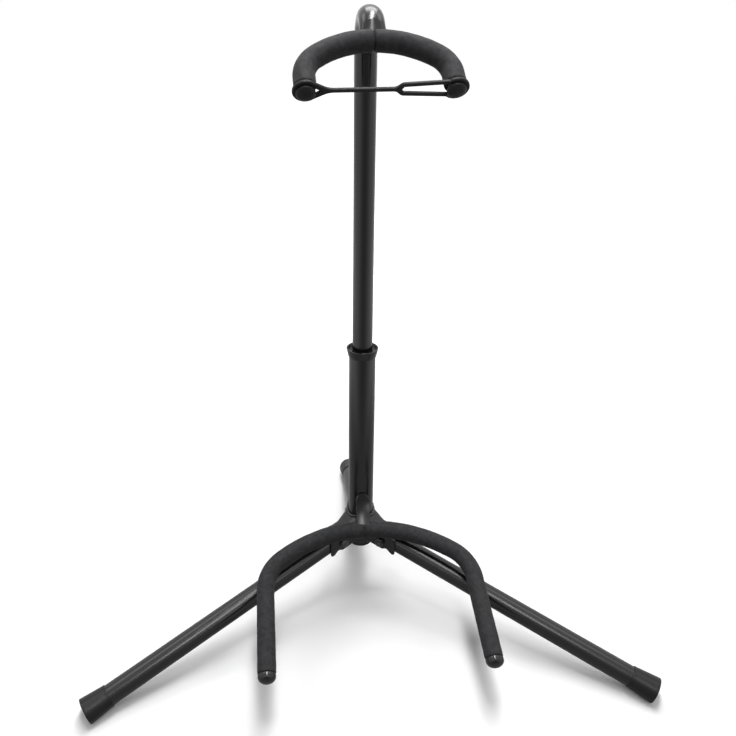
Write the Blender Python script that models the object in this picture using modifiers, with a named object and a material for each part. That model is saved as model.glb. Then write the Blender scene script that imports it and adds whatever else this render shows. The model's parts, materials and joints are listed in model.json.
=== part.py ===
"""Folding tubular guitar stand: three legs, a telescopic mast, a cradle and a neck yoke.

Everything is measured in the frame of the lower tube: Z runs up the tube's axis, the
front of the stand faces -Y, and Z = 0 is the point where the three leg axes meet. One
empty leans that frame back and sets the stand on the floor, at world Z = 0.
"""

import math

import bmesh
import bpy
from mathutils import Matrix, Vector

# Driving dimensions, in metres and radians

# Clearance kept between pieces that touch, and how far a cutter reaches past what it cuts
GAP = 0.0003
CUT_BEYOND = 0.010

# Stance
LEAN = math.radians(6.3)
LEG_SLOPE = math.radians(15.5)
FRONT_LEG_REACH = 0.3127
FOOT_FLAT_DEPTH = 0.0014

# Lower tube and its bottom plug
LOWER_TUBE_RADIUS = 0.0127
LOWER_TUBE_WALL = 0.0012
LOWER_TUBE_BOTTOM = -0.020
LOWER_TUBE_TOP = 0.198
BOTTOM_PLUG_FLANGE = 0.0022
BOTTOM_PLUG_DEPTH = 0.010
PLUG_WALL = 0.0018

# Flared collar at the top of the lower tube, with an open groove round the upper tube
COLLAR_RADIUS = 0.0154
COLLAR_RIM_HEIGHT = 0.0050
COLLAR_EDGE = 0.0006
COLLAR_WALL = 0.0013
COLLAR_FLOOR = 0.0014
COLLAR_SKIRT = 0.0036
COLLAR_SKIRT_WALL = 0.0004
COLLAR_SLEEVE_DEPTH = 0.018

# Upper tube, with its hooked and flattened top
UPPER_TUBE_RADIUS = 0.009525
UPPER_TUBE_WALL = 0.0012
MAST_BEND_START = 0.4723
MAST_BEND_RADIUS = 0.020
MAST_BEND_ANGLE = math.radians(140.0)
MAST_TAIL = 0.0087
MAST_END_WIDTH = 0.0212
MAST_END_THICKNESS = 0.0095
MAST_TURN = math.radians(2.4)
SQUEEZE_START = 0.35
SQUEEZE_IN_BEND = 0.45

# Plastic guide that runs inside the lower tube, held between a bead and a plug
GUIDE_LENGTH = 0.024
BEAD_HEIGHT = 0.0013
BEAD_LENGTH = 0.004
BEAD_RISE = 0.0012
MAST_PLUG_FLANGE = 0.0020
MAST_PLUG_DEPTH = 0.010

# Height clamp at the back of the lower tube, below the collar's sleeve
CLAMP_DROP = 0.020
SCREW_RADIUS = 0.003
BOSS_RADIUS = 0.007
BOSS_LENGTH = 0.007
BOSS_ROOT = 0.00508
KNOB_RADIUS = 0.0090
KNOB_LOBE_DEPTH = 0.0009
KNOB_LOBES = 7
KNOB_THICKNESS = 0.012
KNOB_GRIP = 0.009
SCREW_POINT = 0.0010

# Leg tubes, boots and brackets
LEG_RADIUS = 0.009525
LEG_WALL = 0.0012
LEG_HEEL_SHORT = 0.0010
LEG_HEEL_LONG = 0.0100
BOOT_LENGTH = 0.0235
BOOT_MOUTH_RADIUS = 0.0103
BOOT_END_RADIUS = 0.0121
BOOT_FLOOR = 0.004
BOOT_CUFF = 0.002
BOOT_BAND = 0.0015
BOOT_EDGE = 0.0004
PIVOT_REACH = 0.028
BRACKET_WALL = 0.0013
BRACKET_REACH = 0.044
BRACKET_SKIRT_REACH = 0.0235
BRACKET_SKIRT_TOP = 0.0150
BRACKET_EAR_DROP = 0.0080
BRACKET_NOTCH_DROP = 0.0052
BRACKET_NOTCH_SETBACK = 0.0092
BRACKET_NOTCH_HALF = 0.0058
BRACKET_CORNER_RADIUS = 0.0022
BRACKET_BEND_RADIUS = 0.0050
BRACKET_ROOT = 0.00889
BOLT_RADIUS = 0.0025
BOLT_HEAD_RADIUS = 0.0048
BOLT_HEAD_HEIGHT = 0.0032
BOLT_HEAD_DOME = ((0.0, 0.0), (0.55, 0.0), (0.92, 0.35), (1.0, 0.75))
NUT_RADIUS = 0.0046
NUT_HEIGHT = 0.004
BOLT_TAIL = 0.0012
BOLT_TAIL_EDGE = 0.0006

# Bent rods of the two yokes, and their foam sleeves
ROD_RADIUS = 0.00475
FOAM_RADIUS = 0.0084
FOAM_EDGE = 0.0012
SEAM_GAP = 0.0006
SEAM_STRAIGHT = 0.003

# Neck yoke
NECK_HALF_WIDTH = 0.0552
NECK_CORNER_RADIUS = 0.0253
NECK_BACK_ANGLE = math.radians(38.0)
NECK_FOAM_REACH = 0.0455
NECK_TILT = math.radians(42.0)
NECK_TURN = math.radians(1.7)
CAP_GROOVE_RADIUS = 0.0058
CAP_GROOVE_LENGTH = 0.0044
CAP_RADIUS = 0.0073
CAP_RIM_LENGTH = 0.0008
CAP_RIM_EDGE = 0.0005
CAP_DOME = 0.0030
CAP_BORE_DEPTH = 0.0070
CAP_DOME_ANGLES = tuple(math.radians(d) for d in (70.0, 50.0, 30.0, 0.0))

# Rubber strap between the tips of the neck yoke
STRAP_THICKNESS = 0.0028
STRAP_STRAND = 0.0032
STRAP_RING_WIDTH = 0.0037
STRAP_TEAR = 0.0070
STRAP_EYE_TEAR = 0.0050
STRAP_FORK = 0.0150
STRAP_SLOT = 0.0052
STRAP_SLOT_ROUNDING = 0.00156
STRAP_SPREAD = math.radians(50.0)

# Cradle
CRADLE_HALF_WIDTH = 0.1015
CRADLE_CORNER_RADIUS = 0.038
CRADLE_BACK_ANGLE = math.radians(36.5)
CRADLE_FOAM_REACH = 0.1346
CRADLE_TILT = math.radians(21.6)
CRADLE_TURN = math.radians(2.4)
CRADLE_STANDOFF = 0.0153
CRADLE_HEIGHT = 0.0115
CRADLE_CAP_RADIUS = 0.0081
CRADLE_CAP_SKIRT = 0.0020
CRADLE_CAP_DOME = 0.0058
CRADLE_CAP_BORE_DEPTH = 0.0045
BRACE_TOP = 0.0452
BRACE_ARCH_BASE = 0.036
BRACE_HALF_WIDTH = 0.0068
BRACE_TIP_THICKNESS = 0.0018
BRACE_TIP_LENGTH = 0.008
BRACE_BOTTOM = 0.0178
BRACE_UNDERCUT = 0.0055
BRACE_UNDERCUT_REACH = 0.0065
BRACE_LAP = 0.0018
BRACE_HEEL = 0.0015
BRACE_ROOT = 0.00635
BRACE_TIP_ROOT = 0.00288
BRACE_SHOULDER_SETBACK = 0.000505
BRACE_SHOULDER_RISE = 0.0021
BRACE_LAP_RISE = 0.000606
BRACE_TOE_REACH = 0.002525

# Fineness of the round shapes
TUBE_STEPS = 32
MAST_SIDES = 24
BOOT_STEPS = 32
SMALL_STEPS = 20
CAP_STEPS = 24
NUT_SIDES = 6
LOBE_STEPS = 8
ARCH_STEPS = 16
NOTCH_STEPS = 8
BEND_SEGMENTS = 3
ROD_SIDES = 12
FOAM_SIDES = 16
ARC_STEP = math.radians(8.0)
MAST_ARC_STEP = math.radians(11.0)
CORNER_ARC_STEP = math.radians(30.0)
SHARP_EDGE = math.radians(35.0)
EMPTY_SIZE = 0.02

# Sizes that follow from the driving ones

LOWER_BORE = LOWER_TUBE_RADIUS - LOWER_TUBE_WALL
UPPER_BORE = UPPER_TUBE_RADIUS - UPPER_TUBE_WALL
PIVOT_HEIGHT = -PIVOT_REACH * math.tan(LEG_SLOPE)
CLAMP_HEIGHT = LOWER_TUBE_TOP - COLLAR_SLEEVE_DEPTH - CLAMP_DROP
PLUG_TOP = LOWER_TUBE_BOTTOM + BOTTOM_PLUG_DEPTH
MAST_PLUG_BOTTOM = PLUG_TOP + GAP
MAST_BOTTOM = MAST_PLUG_BOTTOM + MAST_PLUG_FLANGE + GAP
GUIDE_BOTTOM = MAST_BOTTOM
BEAD_BOTTOM = GUIDE_BOTTOM + GUIDE_LENGTH + GAP
BRACKET_INSIDE = LEG_RADIUS + GAP
BRACKET_HALF_WIDTH = BRACKET_INSIDE + BRACKET_WALL
LEG_AZIMUTHS = {"left": math.radians(210.0), "right": math.radians(330.0), "rear": math.radians(90.0)}

# Colours, roughness and metallic value of each finish
FINISHES = {
    "black_paint": ((0.020, 0.020, 0.022, 1.0), 0.35, 0.6),
    "black_foam": ((0.045, 0.045, 0.048, 1.0), 0.92, 0.0),
    "black_rubber": ((0.028, 0.028, 0.030, 1.0), 0.65, 0.0),
    "black_plastic": ((0.015, 0.015, 0.016, 1.0), 0.25, 0.0),
    "dark_zinc": ((0.10, 0.10, 0.11, 1.0), 0.40, 1.0),
}


# Tools for making pieces


def clear_scene():
    """Removes every object of the open file."""
    for thing in list(bpy.data.objects):
        bpy.data.objects.remove(thing, do_unlink=True)


def make_materials():
    """Makes one Principled material for each finish."""
    made = {}
    for name, (color, roughness, metallic) in FINISHES.items():
        finish = bpy.data.materials.new(name)
        finish.use_nodes = True
        shader = finish.node_tree.nodes["Principled BSDF"]
        shader.inputs["Base Color"].default_value = color
        shader.inputs["Roughness"].default_value = roughness
        shader.inputs["Metallic"].default_value = metallic
        made[name] = finish
    return made


def make_collection(name):
    """Makes a collection under the scene's own."""
    made = bpy.data.collections.new(name)
    bpy.context.scene.collection.children.link(made)
    return made


def make_empty(name, parent, place=(0, 0, 0), turn=(0, 0, 0)):
    """Makes an empty that carries pieces or marks a joint's axis."""
    empty = bpy.data.objects.new(name, None)
    empty.empty_display_size = EMPTY_SIZE
    PARTS.objects.link(empty)
    empty.parent = parent
    empty.location = place
    empty.rotation_euler = turn
    return empty


def place_piece(name, data, finish, parent, place=(0, 0, 0), turn=(0, 0, 0)):
    """Links a named piece to the stand, under its parent."""
    piece = bpy.data.objects.new(name, data)
    PARTS.objects.link(piece)
    piece.parent = parent
    piece.location = place
    piece.rotation_euler = turn
    piece.data.materials.append(MATERIALS[finish])
    return piece


def place_cutter(name, data, parent, place=(0, 0, 0), turn=(0, 0, 0)):
    """Links a shape that only cuts others."""
    cutter = bpy.data.objects.new(name, data)
    CUTTERS.objects.link(cutter)
    cutter.parent = parent
    cutter.location = place
    cutter.rotation_euler = turn
    cutter.hide_render = True
    cutter.display_type = "WIRE"
    return cutter


def cut(piece, cutter, operation="DIFFERENCE"):
    """Adds a Boolean modifier to a piece."""
    step = piece.modifiers.new(cutter.name, "BOOLEAN")
    step.operation = operation
    step.solver = "EXACT"
    step.object = cutter


def turned_mesh(name, profile, closed, steps=None):
    """Returns a mesh whose Screw modifier will turn the profile, and the modifier's steps."""
    mesh = bpy.data.meshes.new(name)
    points = [(radius, 0.0, height) for radius, height in profile]
    edges = [(i, i + 1) for i in range(len(points) - 1)]
    if closed:
        edges.append((len(points) - 1, 0))
    mesh.from_pydata(points, edges, [])
    return mesh, steps or TUBE_STEPS


def turn_round(thing, steps):
    """Adds the Screw modifier that turns a profile about local Z."""
    screw = thing.modifiers.new("turned", "SCREW")
    screw.axis = "Z"
    screw.angle = math.tau
    screw.steps = steps
    screw.render_steps = steps
    screw.use_merge_vertices = True
    screw.merge_threshold = 0.00001
    screw.use_smooth_shade = False


def turned_piece(name, profile, finish, parent, closed=False, steps=None, **where):
    """Makes a turned piece: profile points run down the outer side, top to bottom."""
    mesh, count = turned_mesh(name, profile, closed, steps)
    piece = place_piece(name, mesh, finish, parent, **where)
    turn_round(piece, count)
    return piece


def turned_cutter(name, profile, parent, closed=False, steps=None, **where):
    """Makes a turned cutter."""
    mesh, count = turned_mesh(name, profile, closed, steps)
    cutter = place_cutter(name, mesh, parent, **where)
    turn_round(cutter, count)
    return cutter


def tube_profile(outer, inner, bottom, top):
    """The closed profile of a plain tube."""
    return [(outer, top), (outer, bottom), (inner, bottom), (inner, top)]


def rod_profile(radius, bottom, top):
    """The profile of a plain solid rod."""
    return [(0.0, top), (radius, top), (radius, bottom), (0.0, bottom)]


def prism_mesh(name, outline, axis, low, high, round_edges=0.0, rounded=None):
    """Extrudes a flat outline along X or Y; edges between two rounded corners get a bend.

    The outline's points are (Y, Z) for axis X and (X, Z) for axis Y.
    """
    shape = bmesh.new()

    def corner(point, along):
        first, height = point
        return (along, first, height) if axis == "X" else (first, along, height)

    ring_low = [shape.verts.new(corner(point, low)) for point in outline]
    ring_high = [shape.verts.new(corner(point, high)) for point in outline]
    shape.faces.new(ring_low)
    shape.faces.new(list(reversed(ring_high)))
    count = len(outline)
    for i in range(count):
        j = (i + 1) % count
        shape.faces.new((ring_low[j], ring_low[i], ring_high[i], ring_high[j]))
    bmesh.ops.recalc_face_normals(shape, faces=shape.faces)
    if round_edges and rounded:
        shape.edges.ensure_lookup_table()
        marked = {ring[i] for ring in (ring_low, ring_high) for i in rounded}
        sides = [e for e in shape.edges
                 if e.verts[0] in marked and e.verts[1] in marked and not crosses(e, axis)]
        bmesh.ops.bevel(shape, geom=sides, offset=round_edges, segments=BEND_SEGMENTS, profile=0.5,
                        affect="EDGES", clamp_overlap=True)
    mesh = bpy.data.meshes.new(name)
    shape.to_mesh(mesh)
    shape.free()
    return mesh


def crosses(edge, axis):
    """True for an edge that runs along the extrusion's axis."""
    way = edge.verts[1].co - edge.verts[0].co
    along = abs(way.x) if axis == "X" else abs(way.y)
    return along > 0.5 * way.length


def block_mesh(name, low, high):
    """A box between two corners, from a primitive cube."""
    shape = bmesh.new()
    bmesh.ops.create_cube(shape, size=1.0)
    size = Vector(high) - Vector(low)
    middle = (Vector(high) + Vector(low)) / 2
    shape.transform(Matrix.Translation(middle) @ Matrix.Diagonal((*size, 1.0)))
    mesh = bpy.data.meshes.new(name)
    shape.to_mesh(mesh)
    shape.free()
    return mesh


def swept_curve(name, points, radius, sides):
    """A round bar along points, as a curve with filled caps."""
    curve = bpy.data.curves.new(name, "CURVE")
    curve.dimensions = "3D"
    curve.bevel_depth = radius
    curve.bevel_resolution = (sides - 4) // 2
    curve.use_fill_caps = True
    line = curve.splines.new("POLY")
    line.points.add(len(points) - 1)
    for spot, point in zip(line.points, points):
        spot.co = (*point, 1.0)
    return curve


def curve_to_mesh(thing):
    """Replaces a curve object by a mesh with welded caps, and returns the new object."""
    bpy.context.view_layer.update()
    graph = bpy.context.evaluated_depsgraph_get()
    mesh = bpy.data.meshes.new_from_object(thing.evaluated_get(graph))
    shape = bmesh.new()
    shape.from_mesh(mesh)
    bmesh.ops.remove_doubles(shape, verts=shape.verts, dist=0.00001)
    bmesh.ops.recalc_face_normals(shape, faces=shape.faces)
    shape.to_mesh(mesh)
    shape.free()
    name, home, hidden = thing.name, thing.users_collection[0], thing.hide_render
    parent, place, turn = thing.parent, thing.location.copy(), thing.rotation_euler.copy()
    bpy.data.objects.remove(thing, do_unlink=True)
    solid = bpy.data.objects.new(name, mesh)
    home.objects.link(solid)
    solid.parent = parent
    solid.location = place
    solid.rotation_euler = turn
    solid.hide_render = hidden
    if hidden:
        solid.display_type = "WIRE"
    return solid


def flat_curve(name, outlines, thickness):
    """A flat plate from closed outlines in the XY plane; later outlines are holes."""
    curve = bpy.data.curves.new(name, "CURVE")
    curve.dimensions = "2D"
    curve.fill_mode = "BOTH"
    curve.extrude = thickness / 2
    for outline in outlines:
        line = curve.splines.new("POLY")
        line.points.add(len(outline) - 1)
        for spot, (x, y) in zip(line.points, outline):
            spot.co = (x, y, 0.0, 1.0)
        line.use_cyclic_u = True
    return curve


def arc(middle, radius, start, end, step=ARC_STEP):
    """Points of an arc in a plane, from one angle to another."""
    count = max(2, math.ceil(abs(end - start) / step))
    angles = [start + (end - start) * i / count for i in range(count + 1)]
    return [(middle[0] + radius * math.cos(a), middle[1] + radius * math.sin(a)) for a in angles]


def smooth_shading(piece):
    """Shades a round piece smooth, with its real edges kept sharp."""
    piece.data.shade_smooth()
    piece.data.set_sharp_from_angle(angle=SHARP_EDGE)


# Yoke rods: a gentle back arc, a tighter corner each side, and straight arms


def half_yoke(half_width, corner_radius, back_angle, reach, start=0.0):
    """Points (x, y) of the right half of a yoke, from its middle to a tip at y = -reach."""
    back_radius = (half_width - corner_radius * (1 - math.sin(back_angle))) / math.sin(back_angle)
    first = math.asin(start / back_radius)
    steps = max(2, math.ceil((back_angle - first) / ARC_STEP))
    points = [(start, 0.0), (start + SEAM_STRAIGHT, 0.0)]
    for i in range(1, steps + 1):
        a = first + (back_angle - first) * i / steps
        points.append((back_radius * math.sin(a), -back_radius * (1 - math.cos(a))))
    middle_x = points[-1][0] - corner_radius * math.sin(back_angle)
    middle_y = points[-1][1] - corner_radius * math.cos(back_angle)
    steps = max(2, math.ceil((math.pi / 2 - back_angle) / ARC_STEP))
    for i in range(1, steps + 1):
        a = back_angle + (math.pi / 2 - back_angle) * i / steps
        points.append((middle_x + corner_radius * math.sin(a), middle_y + corner_radius * math.cos(a)))
    points.append((half_width, -reach))
    return points


def mirrored(points):
    """The same points on the other side of X = 0."""
    return [(-x, y) for x, y in points]


def whole_yoke(sizes, reach):
    """Points of a yoke from its left tip to its right tip."""
    right = half_yoke(*sizes, reach)
    return list(reversed(mirrored(right)))[:-1] + right


def make_yoke(prefix, sizes, rod_reach, foam_reach, parent):
    """Makes a yoke's bent rod and its two foam sleeves, in the parent's XY plane."""
    path = [(x, y, 0.0) for x, y in whole_yoke(sizes, rod_reach)]
    place_piece(prefix + "_rod", swept_curve(prefix + "_rod", path, ROD_RADIUS, ROD_SIDES),
                "black_paint", parent)
    beyond = [(x, y, 0.0) for x, y in whole_yoke(sizes, foam_reach + CUT_BEYOND)]
    bore = curve_to_mesh(place_cutter(prefix + "_foam_bore", swept_curve(
        prefix + "_foam_bore", beyond, ROD_RADIUS + GAP, ROD_SIDES), parent))
    sleeves = {}
    for side in ("left", "right"):
        flat = half_yoke(*sizes, foam_reach, start=SEAM_GAP / 2)
        flat = mirrored(flat) if side == "left" else flat
        name = f"{prefix}_foam_{side}"
        line = [(x, y, 0.0) for x, y in flat]
        sleeve = curve_to_mesh(place_piece(name, swept_curve(name, line, FOAM_RADIUS, FOAM_SIDES),
                                           "black_foam", parent))
        sleeve.data.materials.clear()
        sleeve.data.materials.append(MATERIALS["black_foam"])
        smooth_shading(sleeve)
        cut(sleeve, bore)
        sleeves[side] = sleeve
    return sleeves


# Stance: how long the rear leg is, and how high the leg axes meet


def leg_direction(side):
    """Unit vector down a leg, in the lower tube's frame."""
    azimuth = LEG_AZIMUTHS[side]
    return Vector((math.cos(LEG_SLOPE) * math.cos(azimuth), math.cos(LEG_SLOPE) * math.sin(azimuth),
                   -math.sin(LEG_SLOPE)))


def leaned(vector):
    """Turns a vector of the lower tube's frame into the world's."""
    return Matrix.Rotation(-LEAN, 3, "X") @ vector


def boot_drop(side):
    """How far the boot's lowest edge lies below the middle of its end."""
    fall = -leaned(leg_direction(side)).z
    return BOOT_END_RADIUS * math.sqrt(1 - fall * fall)


def hub_height():
    """Height of the point where the leg axes meet, with the front boots bearing on the floor."""
    fall = -leaned(leg_direction("left")).z
    return FRONT_LEG_REACH * fall + boot_drop("left") - FOOT_FLAT_DEPTH


def leg_reach(side):
    """Distance from the meeting point to the middle of the boot's end."""
    fall = -leaned(leg_direction(side)).z
    return (hub_height() + FOOT_FLAT_DEPTH - boot_drop(side)) / fall


def boot_span(side):
    """Lowest and highest world Y of a boot's end, before the stand is centred."""
    way = leaned(leg_direction(side))
    middle = way.y * leg_reach(side)
    half = BOOT_END_RADIUS * math.sqrt(1 - way.y * way.y)
    return middle - half, middle + half


def footprint_shift():
    """World Y that puts the middle of the boots' footprint over the origin."""
    front = boot_span("left")[0]
    back = boot_span("rear")[1]
    return -(front + back) / 2


# Sub-assemblies


def make_lower_tube(stand):
    """The lower tube with its bottom plug and its moulded collar."""
    tube = turned_piece("lower_tube", tube_profile(LOWER_TUBE_RADIUS, LOWER_BORE, LOWER_TUBE_BOTTOM,
                                                   LOWER_TUBE_TOP), "black_paint", stand, closed=True)
    plug = PLUG_WALL
    insert = LOWER_BORE - GAP
    floor = LOWER_TUBE_BOTTOM - GAP - BOTTOM_PLUG_FLANGE
    turned_piece("lower_tube_plug", [
        (0.0, floor + plug), (insert - plug, floor + plug), (insert - plug, PLUG_TOP), (insert, PLUG_TOP),
        (insert, LOWER_TUBE_BOTTOM - GAP), (LOWER_TUBE_RADIUS, LOWER_TUBE_BOTTOM - GAP),
        (LOWER_TUBE_RADIUS, floor), (0.0, floor)], "black_plastic", stand)
    make_collar(stand)
    return tube


def make_collar(stand):
    """The collar lines the tube's top end, guides the mast and flares to a thin rim round a groove."""
    top = LOWER_TUBE_TOP + COLLAR_RIM_HEIGHT
    floor = LOWER_TUBE_TOP + COLLAR_FLOOR
    seat = LOWER_TUBE_TOP + GAP
    skirt = LOWER_TUBE_TOP - COLLAR_SKIRT
    sleeve_end = LOWER_TUBE_TOP - COLLAR_SLEEVE_DEPTH
    rim, edge = COLLAR_RADIUS, COLLAR_EDGE
    bore = UPPER_TUBE_RADIUS + GAP
    wall = LOWER_TUBE_RADIUS + GAP
    profile = [
        (rim - COLLAR_WALL, top), (rim - edge, top), (rim, top - edge), (wall + COLLAR_SKIRT_WALL, skirt),
        (wall, skirt), (wall, seat), (LOWER_BORE - GAP, seat), (LOWER_BORE - GAP, sleeve_end),
        (bore, sleeve_end), (bore, floor), (LOWER_TUBE_RADIUS, floor)]
    turned_piece("collar", profile, "black_plastic", stand, closed=True)


def make_clamp(stand, lower_tube):
    """The screw clamp that holds the height: a welded boss, a screw and a lobed knob."""
    back = LOWER_TUBE_RADIUS
    to_back = (-math.pi / 2, 0.0, 0.0)
    level = (0.0, 0.0, CLAMP_HEIGHT)
    hole = turned_cutter("clamp_hole", rod_profile(SCREW_RADIUS + GAP, 0.0, 2 * back), stand,
                         steps=SMALL_STEPS, place=level, turn=to_back)
    cut(lower_tube, hole)
    span = BOSS_RADIUS + CUT_BEYOND
    seat = turned_cutter("boss_seat", rod_profile(back + GAP, CLAMP_HEIGHT - span, CLAMP_HEIGHT + span),
                         stand)
    barrel = tube_profile(BOSS_RADIUS, SCREW_RADIUS + GAP, back - BOSS_ROOT, back + BOSS_LENGTH)
    boss = turned_piece("clamp_boss", barrel, "black_paint", stand, closed=True, steps=SMALL_STEPS,
                        place=level, turn=to_back)
    cut(boss, seat)
    axis = make_empty("clamp_axis", stand, level, to_back)
    tip = UPPER_TUBE_RADIUS + GAP
    knob_front = back + BOSS_LENGTH + GAP
    end = knob_front + KNOB_GRIP
    turned_piece("clamp_screw", [(0.0, end), (SCREW_RADIUS, end), (SCREW_RADIUS, tip + SCREW_POINT),
                                 (SCREW_RADIUS - SCREW_POINT, tip), (0.0, tip)],
                 "dark_zinc", axis, steps=SMALL_STEPS)
    count = KNOB_LOBES * LOBE_STEPS
    rim = []
    for i in range(count):
        a = math.tau * i / count
        radius = KNOB_RADIUS - KNOB_LOBE_DEPTH * (1 - math.cos(KNOB_LOBES * a)) / 2
        rim.append((radius * math.cos(a), radius * math.sin(a)))
    knob = curve_to_mesh(place_piece("clamp_knob", flat_curve("clamp_knob", [rim], KNOB_THICKNESS),
                                     "black_plastic", axis,
                                     place=(0.0, 0.0, knob_front + KNOB_THICKNESS / 2)))
    knob.data.materials.clear()
    knob.data.materials.append(MATERIALS["black_plastic"])
    bore = turned_cutter("knob_bore", rod_profile(SCREW_RADIUS + GAP, knob_front - CUT_BEYOND, end + GAP),
                         axis, steps=SMALL_STEPS)
    cut(knob, bore)


def mast_stations():
    """Centre, side direction and half sizes of each section of the upper tube, bottom to top."""
    radius = UPPER_TUBE_RADIUS
    bead = radius + BEAD_HEIGHT
    ahead = Vector((0.0, -1.0, 0.0))
    stations = []

    def straight(height, size):
        stations.append((Vector((0.0, 0.0, height)), ahead, size, size))

    straight(MAST_BOTTOM, radius)
    straight(BEAD_BOTTOM, radius)
    straight(BEAD_BOTTOM + BEAD_RISE, bead)
    straight(BEAD_BOTTOM + BEAD_LENGTH - BEAD_RISE, bead)
    straight(BEAD_BOTTOM + BEAD_LENGTH, radius)
    steps = math.ceil(MAST_BEND_ANGLE / MAST_ARC_STEP)
    for i in range(steps + 1):
        a = MAST_BEND_ANGLE * i / steps
        middle = Vector((0.0, -MAST_BEND_RADIUS * (1 - math.cos(a)),
                         MAST_BEND_START + MAST_BEND_RADIUS * math.sin(a)))
        squeeze = smooth_step((i / steps - SQUEEZE_START) / (1 - SQUEEZE_START)) * SQUEEZE_IN_BEND
        stations.append((middle, mast_side(a), *squeezed(squeeze)))
    end, way = mast_bend_end()
    for share in (0.5, 1.0):
        squeeze = SQUEEZE_IN_BEND + (1 - SQUEEZE_IN_BEND) * share
        stations.append((end + way * MAST_TAIL * share, mast_side(MAST_BEND_ANGLE), *squeezed(squeeze)))
    return stations


def smooth_step(share):
    """A smooth rise from 0 to 1."""
    share = min(1.0, max(0.0, share))
    return share * share * (3 - 2 * share)


def squeezed(share):
    """Half width and half thickness of the upper tube as it is pressed flat."""
    wide = UPPER_TUBE_RADIUS + (MAST_END_WIDTH / 2 - UPPER_TUBE_RADIUS) * share
    thin = UPPER_TUBE_RADIUS + (MAST_END_THICKNESS / 2 - UPPER_TUBE_RADIUS) * share
    return wide, thin


def mast_side(angle):
    """Unit vector towards the inside of the mast's bend."""
    return Vector((0.0, -math.cos(angle), -math.sin(angle)))


def mast_bend_end():
    """Where the mast's bend ends, and the way it points there."""
    a = MAST_BEND_ANGLE
    end = Vector((0.0, -MAST_BEND_RADIUS * (1 - math.cos(a)),
                  MAST_BEND_START + MAST_BEND_RADIUS * math.sin(a)))
    return end, Vector((0.0, -math.sin(a), math.cos(a)))


def neck_rod_centre():
    """The middle of the neck rod, just past the mast's flattened end."""
    end, way = mast_bend_end()
    return end + way * (MAST_TAIL + GAP + ROD_RADIUS)


def section_ring(shape, station, growth):
    """Adds one oval ring of the upper tube, larger or smaller than its skin by the growth."""
    middle, side, wide, thin = station
    ring = []
    for i in range(MAST_SIDES):
        a = math.tau * i / MAST_SIDES
        across = Vector(((wide + growth) * math.cos(a), 0.0, 0.0))
        ring.append(shape.verts.new(middle + across + side * ((thin + growth) * math.sin(a))))
    return ring


def join_rings(shape, low, high):
    """Joins two rings with a band of faces."""
    for i in range(MAST_SIDES):
        j = (i + 1) % MAST_SIDES
        shape.faces.new((low[i], low[j], high[j], high[i]))


def finish_loft(shape, name):
    """Turns a loft's faces outward and returns its mesh."""
    bmesh.ops.recalc_face_normals(shape, faces=shape.faces)
    mesh = bpy.data.meshes.new(name)
    shape.to_mesh(mesh)
    shape.free()
    return mesh


def make_mast_tube(mast):
    """The upper tube: a loft from a round tube to its flattened, hooked end."""
    shape = bmesh.new()
    stations = mast_stations()
    outer = [section_ring(shape, station, 0.0) for station in stations]
    inner = [section_ring(shape, station, -UPPER_TUBE_WALL) for station in stations]
    for below, above in zip(outer, outer[1:]):
        join_rings(shape, below, above)
    for below, above in zip(inner, inner[1:]):
        join_rings(shape, above, below)
    join_rings(shape, inner[0], outer[0])
    join_rings(shape, outer[-1], inner[-1])
    smooth_shading(place_piece("upper_tube", finish_loft(shape, "upper_tube"), "black_paint", mast))


def make_mast_end_cutter(mast):
    """The space that the mast's flattened end takes, with its clearance."""
    shape = bmesh.new()
    stations = mast_stations()[-4:]
    way = mast_bend_end()[1]
    middle, side, wide, thin = stations[-1]
    stations.append((middle + way * (GAP + ROD_RADIUS), side, wide, thin))
    rings = [section_ring(shape, station, GAP) for station in stations]
    for below, above in zip(rings, rings[1:]):
        join_rings(shape, below, above)
    shape.faces.new(rings[0])
    shape.faces.new(rings[-1])
    return place_cutter("mast_end_space", finish_loft(shape, "mast_end_space"), mast)


def make_mast_fittings(stand, mast):
    """The guide sleeve and the end plug at the foot of the mast."""
    guide = tube_profile(LOWER_BORE - GAP, UPPER_TUBE_RADIUS + GAP, GUIDE_BOTTOM,
                         GUIDE_BOTTOM + GUIDE_LENGTH)
    turned_piece("mast_guide", guide, "black_plastic", stand, closed=True)
    flange = UPPER_TUBE_RADIUS + BEAD_HEIGHT
    insert = UPPER_BORE - GAP
    top = MAST_PLUG_BOTTOM + MAST_PLUG_FLANGE
    turned_piece("mast_plug", [
        (0.0, top), (insert - PLUG_WALL, top), (insert - PLUG_WALL, top + MAST_PLUG_DEPTH),
        (insert, top + MAST_PLUG_DEPTH), (insert, top), (flange, top), (flange, MAST_PLUG_BOTTOM),
        (0.0, MAST_PLUG_BOTTOM)], "black_plastic", mast, steps=CAP_STEPS)


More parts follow.
